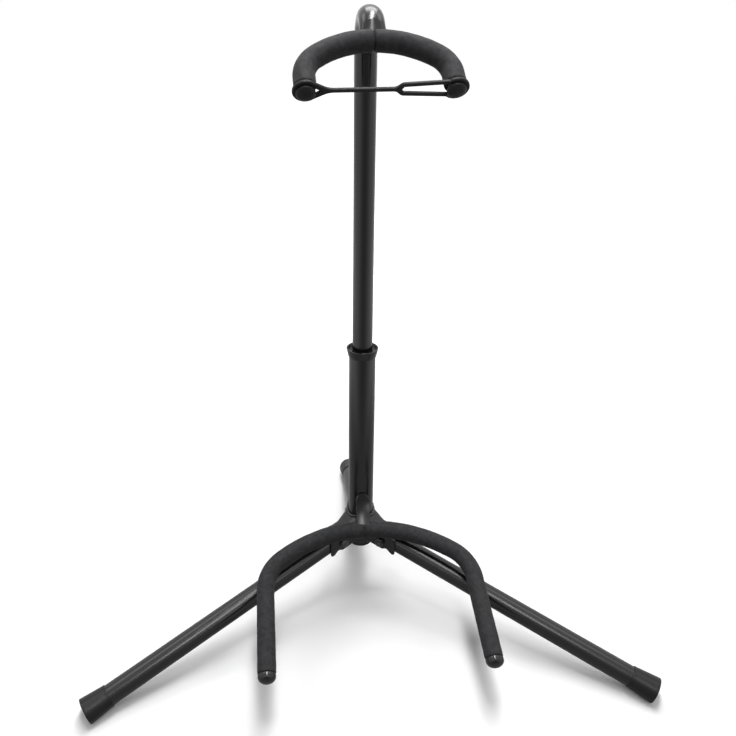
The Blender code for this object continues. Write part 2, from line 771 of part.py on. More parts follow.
def make_neck(mast):
    """The neck yoke: rod, foam sleeves, caps and the rubber strap."""
    plane = make_empty("neck_plane", mast, neck_rod_centre(), (NECK_TILT, 0.0, NECK_TURN))
    sizes = (NECK_HALF_WIDTH, NECK_CORNER_RADIUS, NECK_BACK_ANGLE)
    cap_start = NECK_FOAM_REACH + GAP
    rod_reach = cap_start + CAP_BORE_DEPTH - GAP
    sleeves = make_yoke("neck", sizes, rod_reach, NECK_FOAM_REACH, plane)
    slot = make_mast_end_cutter(mast)
    for sleeve in sleeves.values():
        cut(sleeve, slot)
    groove_end = cap_start + CAP_GROOVE_LENGTH
    rim_end = groove_end + CAP_RIM_LENGTH
    bore = ROD_RADIUS + GAP
    profile = dome_profile(CAP_RADIUS, rim_end, CAP_DOME) + [
        (CAP_RADIUS, groove_end + CAP_RIM_EDGE), (CAP_RADIUS - CAP_RIM_EDGE, groove_end),
        (CAP_GROOVE_RADIUS, groove_end), (CAP_GROOVE_RADIUS, cap_start), (bore, cap_start),
        (bore, cap_start + CAP_BORE_DEPTH), (0.0, cap_start + CAP_BORE_DEPTH)]
    for side, way_x in (("left", -1), ("right", 1)):
        turned_piece(f"neck_cap_{side}", profile, "black_rubber", plane, steps=CAP_STEPS,
                     place=(way_x * NECK_HALF_WIDTH, 0.0, 0.0), turn=(math.pi / 2, 0.0, 0.0))
    make_strap(plane, cap_start)


def make_strap(plane, cap_start):
    """The strap: an eyelet round the left tip and a long loop round the right one."""
    tip = NECK_HALF_WIDTH
    hole = CAP_GROOVE_RADIUS + GAP
    ring = hole + STRAP_RING_WIDTH
    strand = STRAP_STRAND / 2
    slot = STRAP_SLOT / 2
    outer = arc((-tip, 0.0), ring, STRAP_SPREAD, math.tau - STRAP_SPREAD)
    outer += [(-tip + ring + STRAP_TEAR, -strand), (STRAP_FORK - slot - strand, -strand),
              (STRAP_FORK, -slot - STRAP_STRAND)]
    outer += arc((tip, 0.0), ring, -math.pi + STRAP_SPREAD, math.pi - STRAP_SPREAD)
    outer += [(STRAP_FORK, slot + STRAP_STRAND), (STRAP_FORK - slot - strand, strand),
              (-tip + ring + STRAP_TEAR, strand)]
    eyelet = arc((-tip, 0.0), hole, STRAP_SPREAD, math.tau - STRAP_SPREAD)
    eyelet += [(-tip + hole + STRAP_EYE_TEAR, 0.0)]
    loop = arc((tip, 0.0), hole, -math.pi + STRAP_SPREAD, math.pi - STRAP_SPREAD)
    bow = STRAP_FORK + STRAP_SLOT_ROUNDING
    loop += [(bow, slot), (STRAP_FORK, 0.0), (bow, -slot)]
    level = -(cap_start + CAP_GROOVE_LENGTH - STRAP_THICKNESS / 2 - GAP)
    strap = curve_to_mesh(place_piece("neck_strap", flat_curve("neck_strap", [outer, eyelet, loop],
                                                               STRAP_THICKNESS), "black_rubber", plane,
                                      place=(0.0, level, 0.0), turn=(math.pi / 2, 0.0, 0.0)))
    strap.data.materials.clear()
    strap.data.materials.append(MATERIALS["black_rubber"])


def dome_profile(radius, rim, rise):
    """The profile of a domed end, from its top down to its rim."""
    return [(0.0, rim + rise)] + [(radius * math.cos(a), rim + rise * math.sin(a)) for a in CAP_DOME_ANGLES]


def make_cradle(stand):
    """The cradle: a wide yoke on a welded brace, with domed caps on the tips of its rod."""
    aim = make_empty("cradle_aim", stand, (0, 0, 0), (0.0, 0.0, CRADLE_TURN))
    centre = Vector((0.0, -(LOWER_TUBE_RADIUS + CRADLE_STANDOFF), CRADLE_HEIGHT))
    plane = make_empty("cradle_plane", aim, centre, (CRADLE_TILT, 0.0, 0.0))
    sizes = (CRADLE_HALF_WIDTH, CRADLE_CORNER_RADIUS, CRADLE_BACK_ANGLE)
    start = CRADLE_FOAM_REACH + GAP
    bore_end = start + CRADLE_CAP_BORE_DEPTH
    bore = ROD_RADIUS + GAP
    sleeves = make_yoke("cradle", sizes, bore_end - GAP, CRADLE_FOAM_REACH, plane)
    profile = dome_profile(CRADLE_CAP_RADIUS, start + CRADLE_CAP_SKIRT, CRADLE_CAP_DOME)
    profile += [(CRADLE_CAP_RADIUS, start), (bore, start), (bore, bore_end), (0.0, bore_end)]
    for side, way_x in (("left", -1), ("right", 1)):
        turned_piece(f"cradle_cap_{side}", profile, "black_plastic", plane, steps=CAP_STEPS,
                     place=(way_x * CRADLE_HALF_WIDTH, 0.0, 0.0), turn=(math.pi / 2, 0.0, 0.0))
    make_brace(aim, centre, sleeves)


def make_brace(aim, centre, sleeves):
    """The brace reaches from the front of the lower tube to the middle of the cradle's rod."""
    front = -LOWER_TUBE_RADIUS
    root = front + BRACE_ROOT
    over = ROD_RADIUS + GAP
    lap = centre.y - BRACE_LAP
    side_view = [
        (root, BRACE_TOP), (front - BRACE_TIP_THICKNESS, BRACE_TOP),
        (front - BRACE_TIP_ROOT, BRACE_TOP - BRACE_TIP_LENGTH),
        (centre.y + over - BRACE_SHOULDER_SETBACK, centre.z + FOAM_RADIUS + BRACE_SHOULDER_RISE),
        (lap, centre.z + over + BRACE_LAP_RISE), (lap, centre.z),
        (centre.y + over + BRACE_TOE_REACH, centre.z - BRACE_HEEL),
        (front - BRACE_UNDERCUT_REACH, BRACE_BOTTOM - BRACE_UNDERCUT),
        (front, BRACE_BOTTOM), (root, BRACE_BOTTOM)]
    wide = BRACE_HALF_WIDTH + CUT_BEYOND
    brace = place_piece("cradle_brace", prism_mesh("cradle_brace", side_view, "X", -wide, wide),
                        "black_paint", aim)
    below = centre.z - FOAM_RADIUS
    arch = [(-BRACE_HALF_WIDTH, below), (BRACE_HALF_WIDTH, below)]
    for i in range(ARCH_STEPS + 1):
        a = math.pi * i / ARCH_STEPS
        height = BRACE_ARCH_BASE + (BRACE_TOP - BRACE_ARCH_BASE) * math.sin(a)
        arch.append((BRACE_HALF_WIDTH * math.cos(a), height))
    front_view = place_cutter("brace_arch", prism_mesh("brace_arch", arch, "Y", 2 * centre.y, 0.0), aim)
    cut(brace, front_view, "INTERSECT")
    seat = rod_profile(LOWER_TUBE_RADIUS + GAP, BRACE_BOTTOM - CUT_BEYOND, BRACE_TOP + CUT_BEYOND)
    cut(brace, turned_cutter("brace_seat", seat, aim))
    cut(brace, turned_cutter("brace_rod_seat", rod_profile(over, -2 * wide, 2 * wide), aim, place=centre,
                             turn=(0.0, math.pi / 2, 0.0)))
    # The sleeves are slit at the back, where the brace reaches the rod
    slit_low = centre.z - BRACE_HEEL - GAP
    slit_top = centre.z + 2 * FOAM_RADIUS
    slit_view = [(lap - GAP, slit_top), (lap - GAP, slit_low), (0.0, slit_low), (0.0, slit_top)]
    beside = BRACE_HALF_WIDTH + GAP
    slit = place_cutter("cradle_slit", prism_mesh("cradle_slit", slit_view, "X", -beside, beside), aim)
    for sleeve in sleeves.values():
        cut(sleeve, slit)


def leg_level(reach):
    """Height of a leg's axis at a distance from the mast's axis."""
    return -math.tan(LEG_SLOPE) * reach


def bracket_lower_edge(start):
    """Lower edge of a bracket, from its rounded outer corner to its root, with a shallow notch."""
    across = math.cos(LEG_SLOPE)
    corner = BRACKET_CORNER_RADIUS
    inner = BRACKET_REACH - corner
    edge = arc((inner, leg_level(inner) - BRACKET_EAR_DROP / across + corner), corner, 0.0, -math.pi / 2,
               CORNER_ARC_STEP)
    for i in range(NOTCH_STEPS + 1):
        share = 1 - 2 * i / NOTCH_STEPS
        lift = (BRACKET_EAR_DROP - BRACKET_NOTCH_DROP) * (1 + math.cos(math.pi * share)) / 2
        reach = BRACKET_REACH - BRACKET_NOTCH_SETBACK + BRACKET_NOTCH_HALF * share
        edge.append((reach, leg_level(reach) - (BRACKET_EAR_DROP - lift) / across))
    edge.append((start, leg_level(start) - BRACKET_EAR_DROP / across))
    return edge


def bracket_outline(inset):
    """Side view of a leg bracket, in its arm's XZ plane; inset gives the channel inside it."""
    across = math.cos(LEG_SLOPE)
    leg_top = BRACKET_INSIDE / across
    roof = BRACKET_WALL / across
    knee = BRACKET_SKIRT_REACH
    steep = (BRACKET_SKIRT_TOP - leg_level(knee) - leg_top - roof) / (knee - LOWER_TUBE_RADIUS)
    start = LOWER_TUBE_RADIUS - BRACKET_ROOT
    start_height = BRACKET_SKIRT_TOP + steep * (LOWER_TUBE_RADIUS - start)
    if not inset:
        web = leg_top + roof
        top = [(start, start_height), (knee, leg_level(knee) + web)]
        top.append((BRACKET_REACH, leg_level(BRACKET_REACH) + web))
        return top + bracket_lower_edge(start)
    near = start - CUT_BEYOND
    out = BRACKET_REACH + CUT_BEYOND
    thick = BRACKET_WALL * math.sqrt(1 + steep * steep)
    low = -BRACKET_EAR_DROP / across - CUT_BEYOND
    return [(near, start_height + steep * CUT_BEYOND - thick), (knee, leg_level(knee) + leg_top),
            (out, leg_level(out) + leg_top), (out, leg_level(out) + low), (near, leg_level(near) + low)]


def make_leg(stand, side, lower_tube_space):
    """One leg: its bracket, pivot bolt and nut, tube and boot."""
    arm = make_empty(f"arm_{side}", stand, (0, 0, 0), (0.0, 0.0, LEG_AZIMUTHS[side]))
    wide = BRACKET_HALF_WIDTH
    bracket = place_piece(f"leg_bracket_{side}", prism_mesh(
        f"leg_bracket_{side}", bracket_outline(False), "Y", -wide, wide, BRACKET_BEND_RADIUS, (0, 1, 2)),
        "black_paint", arm)
    inside = place_cutter(f"bracket_channel_{side}", prism_mesh(
        f"bracket_channel_{side}", bracket_outline(True), "Y", -BRACKET_INSIDE, BRACKET_INSIDE,
        BRACKET_BEND_RADIUS - BRACKET_WALL, (0, 1, 2)), arm)
    cut(bracket, inside)
    cut(bracket, lower_tube_space)
    across = (-math.pi / 2, 0.0, 0.0)
    spot = (PIVOT_REACH, 0.0, PIVOT_HEIGHT)
    hole = turned_cutter(f"pivot_hole_{side}", rod_profile(BOLT_RADIUS + GAP, -2 * wide, 2 * wide), arm,
                         steps=SMALL_STEPS, place=spot, turn=across)
    cut(bracket, hole)
    head = wide + GAP
    crown = head + BOLT_HEAD_HEIGHT
    far = -(wide + 2 * GAP + NUT_HEIGHT + BOLT_TAIL)
    dome = [(BOLT_HEAD_RADIUS * wide_share, crown - BOLT_HEAD_HEIGHT * low_share)
            for wide_share, low_share in BOLT_HEAD_DOME]
    turned_piece(f"pivot_bolt_{side}", dome + [
        (BOLT_HEAD_RADIUS, head), (BOLT_RADIUS, head), (BOLT_RADIUS, far + BOLT_TAIL_EDGE),
        (BOLT_RADIUS - BOLT_TAIL_EDGE, far), (0.0, far)],
        "dark_zinc", arm, steps=SMALL_STEPS, place=spot, turn=across)
    nut = turned_piece(f"pivot_nut_{side}", rod_profile(NUT_RADIUS, -head - NUT_HEIGHT, -head), "dark_zinc",
                       arm, steps=NUT_SIDES, place=spot, turn=across)
    cut(nut, hole)
    pivot = make_empty(f"leg_pivot_{side}", arm, spot, (0.0, LEG_SLOPE, 0.0))
    make_leg_tube(pivot, side, hole)


def make_leg_tube(pivot, side, hole):
    """A leg tube with a slanted heel, and the flared boot on its far end."""
    to_boot_end = leg_reach(side) - PIVOT_REACH / math.cos(LEG_SLOPE)
    tube_end = to_boot_end - BOOT_FLOOR - GAP
    along = (0.0, math.pi / 2, 0.0)
    radius = LEG_RADIUS
    blank = tube_profile(radius, radius - LEG_WALL, -LEG_HEEL_LONG - CUT_BEYOND, tube_end)
    tube = turned_piece(f"leg_{side}", blank, "black_paint", pivot, closed=True, turn=along)
    rise = (LEG_HEEL_LONG - LEG_HEEL_SHORT) / (2 * radius)
    reach = 2 * radius
    mid = (LEG_HEEL_LONG + LEG_HEEL_SHORT) / 2
    away = -LEG_HEEL_LONG - 2 * CUT_BEYOND
    heel = [(-mid + rise * reach, reach), (-mid - rise * reach, -reach), (away, -reach), (away, reach)]
    heel_cut = prism_mesh(f"heel_cut_{side}", heel, "Y", -reach, reach)
    cut(tube, place_cutter(f"heel_cut_{side}", heel_cut, pivot))
    cut(tube, hole)
    end = to_boot_end
    mouth = end - BOOT_LENGTH
    bore = LEG_RADIUS + GAP
    floor = end - BOOT_FLOOR
    edge = BOOT_EDGE
    profile = [
        (0.0, end), (BOOT_END_RADIUS - edge, end), (BOOT_END_RADIUS, end - edge),
        (BOOT_END_RADIUS, end - BOOT_BAND), (BOOT_MOUTH_RADIUS, mouth + BOOT_CUFF),
        (BOOT_MOUTH_RADIUS, mouth + edge),
        (BOOT_MOUTH_RADIUS - edge, mouth), (bore, mouth), (bore, floor), (0.0, floor)]
    boot = turned_piece(f"leg_boot_{side}", profile, "black_rubber", pivot, steps=BOOT_STEPS, turn=along)
    cut(boot, FLOOR_CUTTER)


def main():
    """Builds the whole stand."""
    stand = make_empty("stand", None, (0.0, footprint_shift(), hub_height()), (-LEAN, 0.0, 0.0))
    lower_tube = make_lower_tube(stand)
    make_clamp(stand, lower_tube)
    mast = make_empty("mast_axis", stand, (0, 0, 0), (0.0, 0.0, MAST_TURN))
    make_mast_tube(mast)
    make_mast_fittings(stand, mast)
    make_neck(mast)
    make_cradle(stand)
    seat = rod_profile(LOWER_TUBE_RADIUS + GAP, LOWER_TUBE_BOTTOM - CUT_BEYOND,
                       BRACKET_SKIRT_TOP + 2 * CUT_BEYOND)
    space = turned_cutter("bracket_seat", seat, stand)
    for side in LEG_AZIMUTHS:
        make_leg(stand, side, space)
    bpy.context.view_layer.update()


clear_scene()
PARTS = make_collection("guitar_stand")
CUTTERS = make_collection("cutters")
MATERIALS = make_materials()
SPREAD = 2 * FRONT_LEG_REACH
FLOOR_CUTTER = place_cutter("floor", block_mesh("floor", (-SPREAD, -SPREAD, -SPREAD), (SPREAD, SPREAD, 0.0)),
                            None)
main()
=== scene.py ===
"""Looks of a folding tubular guitar stand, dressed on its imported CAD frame.

Every length is in metres. The lower tube's own frame has Z up the tube, the front of the
stand towards -Y and its origin where the three leg axes meet, as in the CAD model.
"""

import json
import logging
import math
from collections.abc import Callable, Iterable, Sequence
from dataclasses import dataclass, field
from enum import Enum
from functools import partial
from typing import Any

import bmesh
import bpy
from mathutils import Matrix, Vector


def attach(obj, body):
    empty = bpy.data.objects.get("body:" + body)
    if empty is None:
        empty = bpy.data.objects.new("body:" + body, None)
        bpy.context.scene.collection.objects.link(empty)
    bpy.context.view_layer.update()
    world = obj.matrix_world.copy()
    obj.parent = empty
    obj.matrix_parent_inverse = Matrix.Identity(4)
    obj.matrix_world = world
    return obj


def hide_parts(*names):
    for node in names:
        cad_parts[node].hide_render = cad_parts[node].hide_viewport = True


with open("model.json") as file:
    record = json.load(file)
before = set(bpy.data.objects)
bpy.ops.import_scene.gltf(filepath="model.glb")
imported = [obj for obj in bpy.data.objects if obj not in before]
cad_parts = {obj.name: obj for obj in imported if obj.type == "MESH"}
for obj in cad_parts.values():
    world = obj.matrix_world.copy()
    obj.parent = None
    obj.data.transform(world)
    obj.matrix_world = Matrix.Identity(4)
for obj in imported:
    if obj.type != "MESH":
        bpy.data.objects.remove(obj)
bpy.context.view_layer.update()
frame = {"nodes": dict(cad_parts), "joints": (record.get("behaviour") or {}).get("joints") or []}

LOG = logging.getLogger("guitar_stand")
Point = tuple[float, float]
Corner = tuple[float, float, float]
Section = tuple[Vector, Vector, float, float]
Ring = list[Any]
Piece = bpy.types.Object
Tree = bpy.types.NodeTree
Socket = bpy.types.NodeSocket
Shape = bmesh.types.BMesh

AROUND = 64
SIDES = ("left", "right")

# Sizes that several sub-assemblies share: clearances, tube and rod radii, the tubes' wall
GAP = 0.0003
FIT = 0.00008
THICK_TUBE = 0.0127
THIN_TUBE = 0.009525
TUBE_WALL = 0.0012
TUBE_TOP = 0.198
ROD = 0.00475

# Limits of the mesh work: the most that a rounding takes of a side, merged distance, angles in degrees
ROUNDING_SHARE = 0.48
POLE_RADIUS = 1e-7
MERGE_DISTANCE = 0.000002
FLAT_ANGLE = 0.4
SMOOTH_ANGLE = 32.0
SOFT_ANGLE = 40.0
BEAD_ANGLE = 60.0


class Side(Enum):
    """The three legs, by the way that each points round the mast, in degrees."""

    LEFT = 210.0
    RIGHT = 330.0
    REAR = 90.0

    @property
    def word(self) -> str:
        """The side's name as the CAD nodes spell it."""
        return self.name.lower()


class Slot(Enum):
    """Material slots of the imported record."""

    PAINT = "black_paint"
    FOAM = "black_foam"
    RUBBER = "black_rubber"
    PLASTIC = "black_plastic"
    ZINC = "dark_zinc"


# Shader building


class Wiring:
    """A node tree with short calls to add and join nodes."""

    def __init__(self, tree: Tree) -> None:
        """Wraps a node tree.

        Args:
            tree: A shader or geometry node tree.
        """
        self.tree = tree

    def add(self, kind: str, values: dict[Any, Any] | None = None, **settings: Any) -> bpy.types.Node:
        """Adds a node.

        Args:
            kind: The node's type name.
            values: Input values or sockets to link from, by input name or index.
            settings: Properties of the node itself.

        Returns:
            The new node.
        """
        node = self.tree.nodes.new(kind)
        for name, setting in settings.items():
            setattr(node, name, setting)
        for key, value in (values or {}).items():
            if isinstance(value, Socket):
                self.tree.links.new(value, node.inputs[key])
            else:
                node.inputs[key].default_value = value
        return node

    def join(self, source: Socket, target: Socket) -> None:
        """Links an output to an input."""
        self.tree.links.new(source, target)

    def maths(self, operation: str, first: Any, second: Any = 0.0, clamp: bool = False) -> Socket:
        """Adds a Math node.

        Args:
            operation: The Math node's operation.
            first: First value or socket.
            second: Second value or socket.
            clamp: Keeps the result between 0 and 1.

        Returns:
            The result's socket.
        """
        return self.add("ShaderNodeMath", {0: first, 1: second}, operation=operation, use_clamp=clamp).outputs[0]

    def between(self, value: Any, span: Point, result: Point) -> Socket:
        """Maps a value from one span to another, clamped.

        Args:
            value: The socket to map.
            span: The value's lowest and highest input.
            result: What those two become.

        Returns:
            The result's socket.
        """
        node = self.add("ShaderNodeMapRange", {0: value, 1: span[0], 2: span[1], 3: result[0], 4: result[1]})
        return node.outputs[0]

    def mix_colour(self, share: Any, low: Any, high: Any) -> Socket:
        """Mixes two colours.

        Args:
            share: Share of the second colour.
            low: First colour or socket.
            high: Second colour or socket.

        Returns:
            The mixed colour's socket.
        """
        return self.add("ShaderNodeMix", {0: share, 6: low, 7: high}, data_type="RGBA").outputs[2]


def new_group(name: str, inputs: dict[str, tuple[str, Any]], outputs: dict[str, str],
              kind: str = "ShaderNodeTree") -> tuple[Wiring, Any, Any]:
    """Starts a node group.

    Args:
        name: The group's name.
        inputs: Socket kind and default value by name.
        outputs: Socket kind by name.
        kind: The tree's type name.

    Returns:
        The group's wiring, its input node and its output node.
    """
    tree = bpy.data.node_groups.new(name, kind)
    for label, (kind, value) in inputs.items():
        socket = tree.interface.new_socket(name=label, in_out="INPUT", socket_type="NodeSocket" + kind)
        if value is not None:
            socket.default_value = value
    for label, kind in outputs.items():
        tree.interface.new_socket(name=label, in_out="OUTPUT", socket_type="NodeSocket" + kind)
    wires = Wiring(tree)
    return wires, wires.add("NodeGroupInput"), wires.add("NodeGroupOutput")


class SharedEffects:
    """Shader node groups that several finishes use, each built once."""

    def __init__(self) -> None:
        """Builds the four groups."""
        self.grain = self.build_grain()
        self.tone = self.build_tone()
        self.wear = self.build_wear()
        self.dust = self.build_dust()

    def build_grain(self) -> Tree:
        """A fine surface texture as a height from 0 to 1."""
        wires, given, out = new_group(
            "fine_grain", {"Vector": ("Vector", None), "Scale": ("Float", 1000.0), "Pores": ("Float", 0.3)},
            {"Height": "Float"})
        vector = given.outputs["Vector"]
        noise = wires.add("ShaderNodeTexNoise", {"Vector": vector, "Scale": given.outputs["Scale"], "Detail": 4.0,
                                                 "Roughness": 0.6})
        cells = wires.add("ShaderNodeTexVoronoi", {"Vector": vector, "Scale": given.outputs["Scale"]})
        pits = wires.between(cells.outputs["Distance"], (0.0, 0.45), (0.0, 1.0))
        mix = wires.add("ShaderNodeMix", {0: given.outputs["Pores"], 2: noise.outputs[0], 3: pits}, data_type="FLOAT")
        wires.join(mix.outputs[0], out.inputs["Height"])
        return wires.tree

    def build_tone(self) -> Tree:
        """Cloudy patches, from a low to a high value."""
        wires, given, out = new_group(
            "cloudy_tone", {"Vector": ("Vector", None), "Scale": ("Float", 30.0), "Low": ("Float", 0.0),
                            "High": ("Float", 1.0)}, {"Value": "Float"})
        noise = wires.add("ShaderNodeTexNoise", {"Vector": given.outputs["Vector"], "Scale": given.outputs["Scale"],
                                                 "Detail": 5.0, "Roughness": 0.55, "Distortion": 0.4})
        spread = wires.between(noise.outputs[0], (0.3, 0.7), (0.0, 1.0))
        mix = wires.add("ShaderNodeMix", {0: spread, 2: given.outputs["Low"], 3: given.outputs["High"]},
                        data_type="FLOAT")
        wires.join(mix.outputs[0], out.inputs["Value"])
        return wires.tree

    def build_wear(self) -> Tree:
        """Edges where the finish is rubbed, broken up by noise."""
        wires, given, out = new_group(
            "worn_edges", {"Vector": ("Vector", None), "Width": ("Float", 0.0008), "Amount": ("Float", 0.5)},
            {"Mask": "Float"})
        surface = wires.add("ShaderNodeNewGeometry")
        soft = wires.add("ShaderNodeBevel", {"Radius": given.outputs["Width"]}, samples=4)
        across = wires.add("ShaderNodeVectorMath", {0: surface.outputs["Normal"], 1: soft.outputs[0]},
                           operation="DOT_PRODUCT")
        edge = wires.between(across.outputs["Value"], (0.995, 0.90), (0.0, 1.0))
        noise = wires.add("ShaderNodeTexNoise", {"Vector": given.outputs["Vector"], "Scale": 420.0, "Detail": 3.0})
        broken = wires.between(noise.outputs[0], (0.42, 0.62), (0.0, 1.0))
        mask = wires.maths("MULTIPLY", wires.maths("MULTIPLY", edge, broken), given.outputs["Amount"], clamp=True)
        wires.join(mask, out.inputs["Mask"])
        return wires.tree

    def build_dust(self) -> Tree:
        """A thin film of dust on faces that look up."""
        wires, given, out = new_group(
            "settled_dust", {"Vector": ("Vector", None), "Amount": ("Float", 0.1)}, {"Mask": "Float"})
        surface = wires.add("ShaderNodeNewGeometry")
        parts = wires.add("ShaderNodeSeparateXYZ", {0: surface.outputs["Normal"]})
        up = wires.between(parts.outputs["Z"], (0.2, 1.0), (0.0, 1.0))
        noise = wires.add("ShaderNodeTexNoise", {"Vector": given.outputs["Vector"], "Scale": 120.0, "Detail": 6.0,
                                                 "Roughness": 0.7})
        patchy = wires.between(noise.outputs[0], (0.35, 0.75), (0.2, 1.0))
        mask = wires.maths("MULTIPLY", wires.maths("MULTIPLY", up, patchy), given.outputs["Amount"], clamp=True)
        wires.join(mask, out.inputs["Mask"])
        return wires.tree


@dataclass(frozen=True)
class Finish:
    """What all finishes share: a name, a slot, colours and the sizes of their texture."""

    name: str
    slot: Slot
    colour: Corner
    worn_colour: Corner
    dust_colour: Corner = (0.32, 0.31, 0.29)
    roughness: Point = (0.35, 0.45)
    tone_scale: float = 30.0
    tone_depth: float = 0.25
    grain_scale: float = 1000.0
    pores: float = 0.3
    grain_depth: float = 0.00002
    grain_strength: float = 0.3
    wear: float = 0.3
    wear_width: float = 0.0006
    dust: float = 0.06
    metallic: float = 0.0
    specular: float = 0.5
    sheen: float = 0.0
    smudge_scale: float = 2.3
    dust_roughness: float = 0.8

    def build(self, effects: SharedEffects) -> bpy.types.Material:
        """Builds the finish as a material.

        Args:
            effects: The shared node groups.

        Returns:
            The material.
        """
        made = bpy.data.materials.new(self.name)
        made.use_nodes = True
        wires = Wiring(made.node_tree)
        shader = made.node_tree.nodes["Principled BSDF"]
        place = wires.add("ShaderNodeTexCoord").outputs["Object"]

        deep = tuple(c * (1 - self.tone_depth) for c in self.colour) + (1.0,)
        light = tuple(c * (1 + self.tone_depth) for c in self.colour) + (1.0,)
        tone = group_under(wires, effects.tone, place, {"Scale": self.tone_scale, "Low": 0.0, "High": 1.0})
        patches = wires.mix_colour(tone.outputs["Value"], deep, light)
        wear = group_under(wires, effects.wear, place, {"Width": self.wear_width, "Amount": self.wear})
        rubbed = wires.mix_colour(wear.outputs["Mask"], patches, (*self.worn_colour, 1.0))
        dust = group_under(wires, effects.dust, place, {"Amount": self.dust})
        dusty = wires.mix_colour(dust.outputs["Mask"], rubbed, (*self.dust_colour, 1.0))
        wires.join(dusty, shader.inputs["Base Color"])
        smudge = group_under(wires, effects.tone, place, {"Scale": self.tone_scale * self.smudge_scale,
                                                          "Low": self.roughness[0], "High": self.roughness[1]})
        dulled = wires.maths("MULTIPLY", dust.outputs["Mask"], self.dust_roughness)
        wires.join(wires.maths("ADD", smudge.outputs["Value"], dulled, clamp=True), shader.inputs["Roughness"])
        grain = group_under(wires, effects.grain, place, {"Scale": self.grain_scale, "Pores": self.pores})
        bump = wires.add("ShaderNodeBump", {"Strength": self.grain_strength, "Distance": self.grain_depth,
                                            "Height": grain.outputs["Height"]})
        wires.join(bump.outputs[0], shader.inputs["Normal"])
        shader.inputs["Metallic"].default_value = self.metallic
        shader.inputs["Specular IOR Level"].default_value = self.specular
        shader.inputs["Sheen Weight"].default_value = self.sheen
        made.diffuse_color = (*self.colour, 1.0)
        return made


def group_under(wires: Wiring, tree: Tree, place: Any, values: dict[str, float]) -> bpy.types.Node:
    """Places a shared group in a material.

    Args:
        wires: The material's wiring.
        tree: The shared group.
        place: The coordinates that the group reads.
        values: The group's other values by input name.

    Returns:
        The group node.
    """
    node = wires.add("ShaderNodeGroup", node_tree=tree)
    wires.join(place, node.inputs["Vector"])
    for label, value in values.items():
        node.inputs[label].default_value = value
    return node


SATIN_COAT = Finish("satin_powder_coat", Slot.PAINT, (0.0078, 0.0078, 0.0088), (0.07, 0.07, 0.075),
                    roughness=(0.18, 0.26), tone_scale=26.0, tone_depth=0.16, grain_scale=900.0, pores=0.25,
                    grain_depth=0.00003, grain_strength=0.2, wear=0.2, dust=0.006, specular=0.52)
SLEEVE_FOAM = Finish("closed_cell_foam", Slot.FOAM, (0.031, 0.031, 0.033), (0.060, 0.060, 0.063),
                     roughness=(0.62, 0.84), tone_scale=230.0, tone_depth=0.30, grain_scale=1100.0, pores=0.65,
                     grain_depth=0.00016, grain_strength=0.75, wear=0.4, wear_width=0.001, dust=0.012,
                     specular=0.16, sheen=0.04)
TIP_RUBBER = Finish("moulded_rubber", Slot.RUBBER, (0.008, 0.008, 0.009), (0.04, 0.04, 0.04),
                    roughness=(0.27, 0.37), tone_scale=60.0, tone_depth=0.22, grain_scale=1800.0, pores=0.2,
                    grain_depth=0.00003, grain_strength=0.3, wear=0.3, dust=0.01, specular=0.30)
SOFT_RUBBER = Finish("soft_rubber", Slot.RUBBER, (0.009, 0.009, 0.010), (0.03, 0.03, 0.03),
                     roughness=(0.46, 0.60), tone_scale=90.0, tone_depth=0.3, grain_scale=1500.0, pores=0.3,
                     grain_depth=0.00004, grain_strength=0.35, wear=0.2, dust=0.008, specular=0.24)
MOULDED_PLASTIC = Finish("moulded_plastic", Slot.PLASTIC, (0.007, 0.007, 0.0075), (0.04, 0.04, 0.04),
                         roughness=(0.14, 0.24), tone_scale=50.0, tone_depth=0.15, grain_scale=2200.0, pores=0.15,
                         grain_depth=0.00001, grain_strength=0.15, wear=0.15, dust=0.006)
BLACK_ZINC = Finish("blackened_zinc", Slot.ZINC, (0.10, 0.10, 0.105), (0.32, 0.32, 0.33), roughness=(0.3, 0.5),
                    tone_scale=300.0, tone_depth=0.35, grain_scale=2600.0, pores=0.3, grain_depth=0.00001,
                    grain_strength=0.3, wear=0.6, wear_width=0.0004, dust=0.03, metallic=0.9)


class Wardrobe:
    """The materials, each built once."""

    def __init__(self) -> None:
        """Builds every finish."""
        effects = SharedEffects()
        self.made = {finish: finish.build(effects)
                     for finish in (SATIN_COAT, SLEEVE_FOAM, TIP_RUBBER, SOFT_RUBBER, MOULDED_PLASTIC, BLACK_ZINC)}

    def material(self, finish: Finish) -> bpy.types.Material:
        """The material of a finish."""
        return self.made[finish]


# Mesh building


def rounded(corners: Sequence[Corner], closed: bool = False, steps: int = 5) -> list[Point]:
    """Rounds the corners of a profile.

    Args:
        corners: First coordinate, second coordinate and rounding of each corner.
        closed: True if the last corner joins the first.
        steps: Segments of each rounded corner.

    Returns:
        The profile's points.
    """
    points: list[Point] = []
    count = len(corners)
    for i, (x, y, rounding) in enumerate(corners):
        if rounding <= 0.0 or (not closed and i in (0, count - 1)):
            points.append((x, y))
            continue
        here = Vector((x, y))
        back = Vector(corners[i - 1][:2]) - here
        ahead = Vector(corners[(i + 1) % count][:2]) - here
        reach = min(rounding, ROUNDING_SHARE * back.length, ROUNDING_SHARE * ahead.length)
        first = here + back.normalized() * reach
        last = here + ahead.normalized() * reach
        for k in range(steps + 1):
            t = k / steps
            spot = first * (1 - t) ** 2 + here * (2 * t * (1 - t)) + last * t * t
            points.append((spot.x, spot.y))
    return points


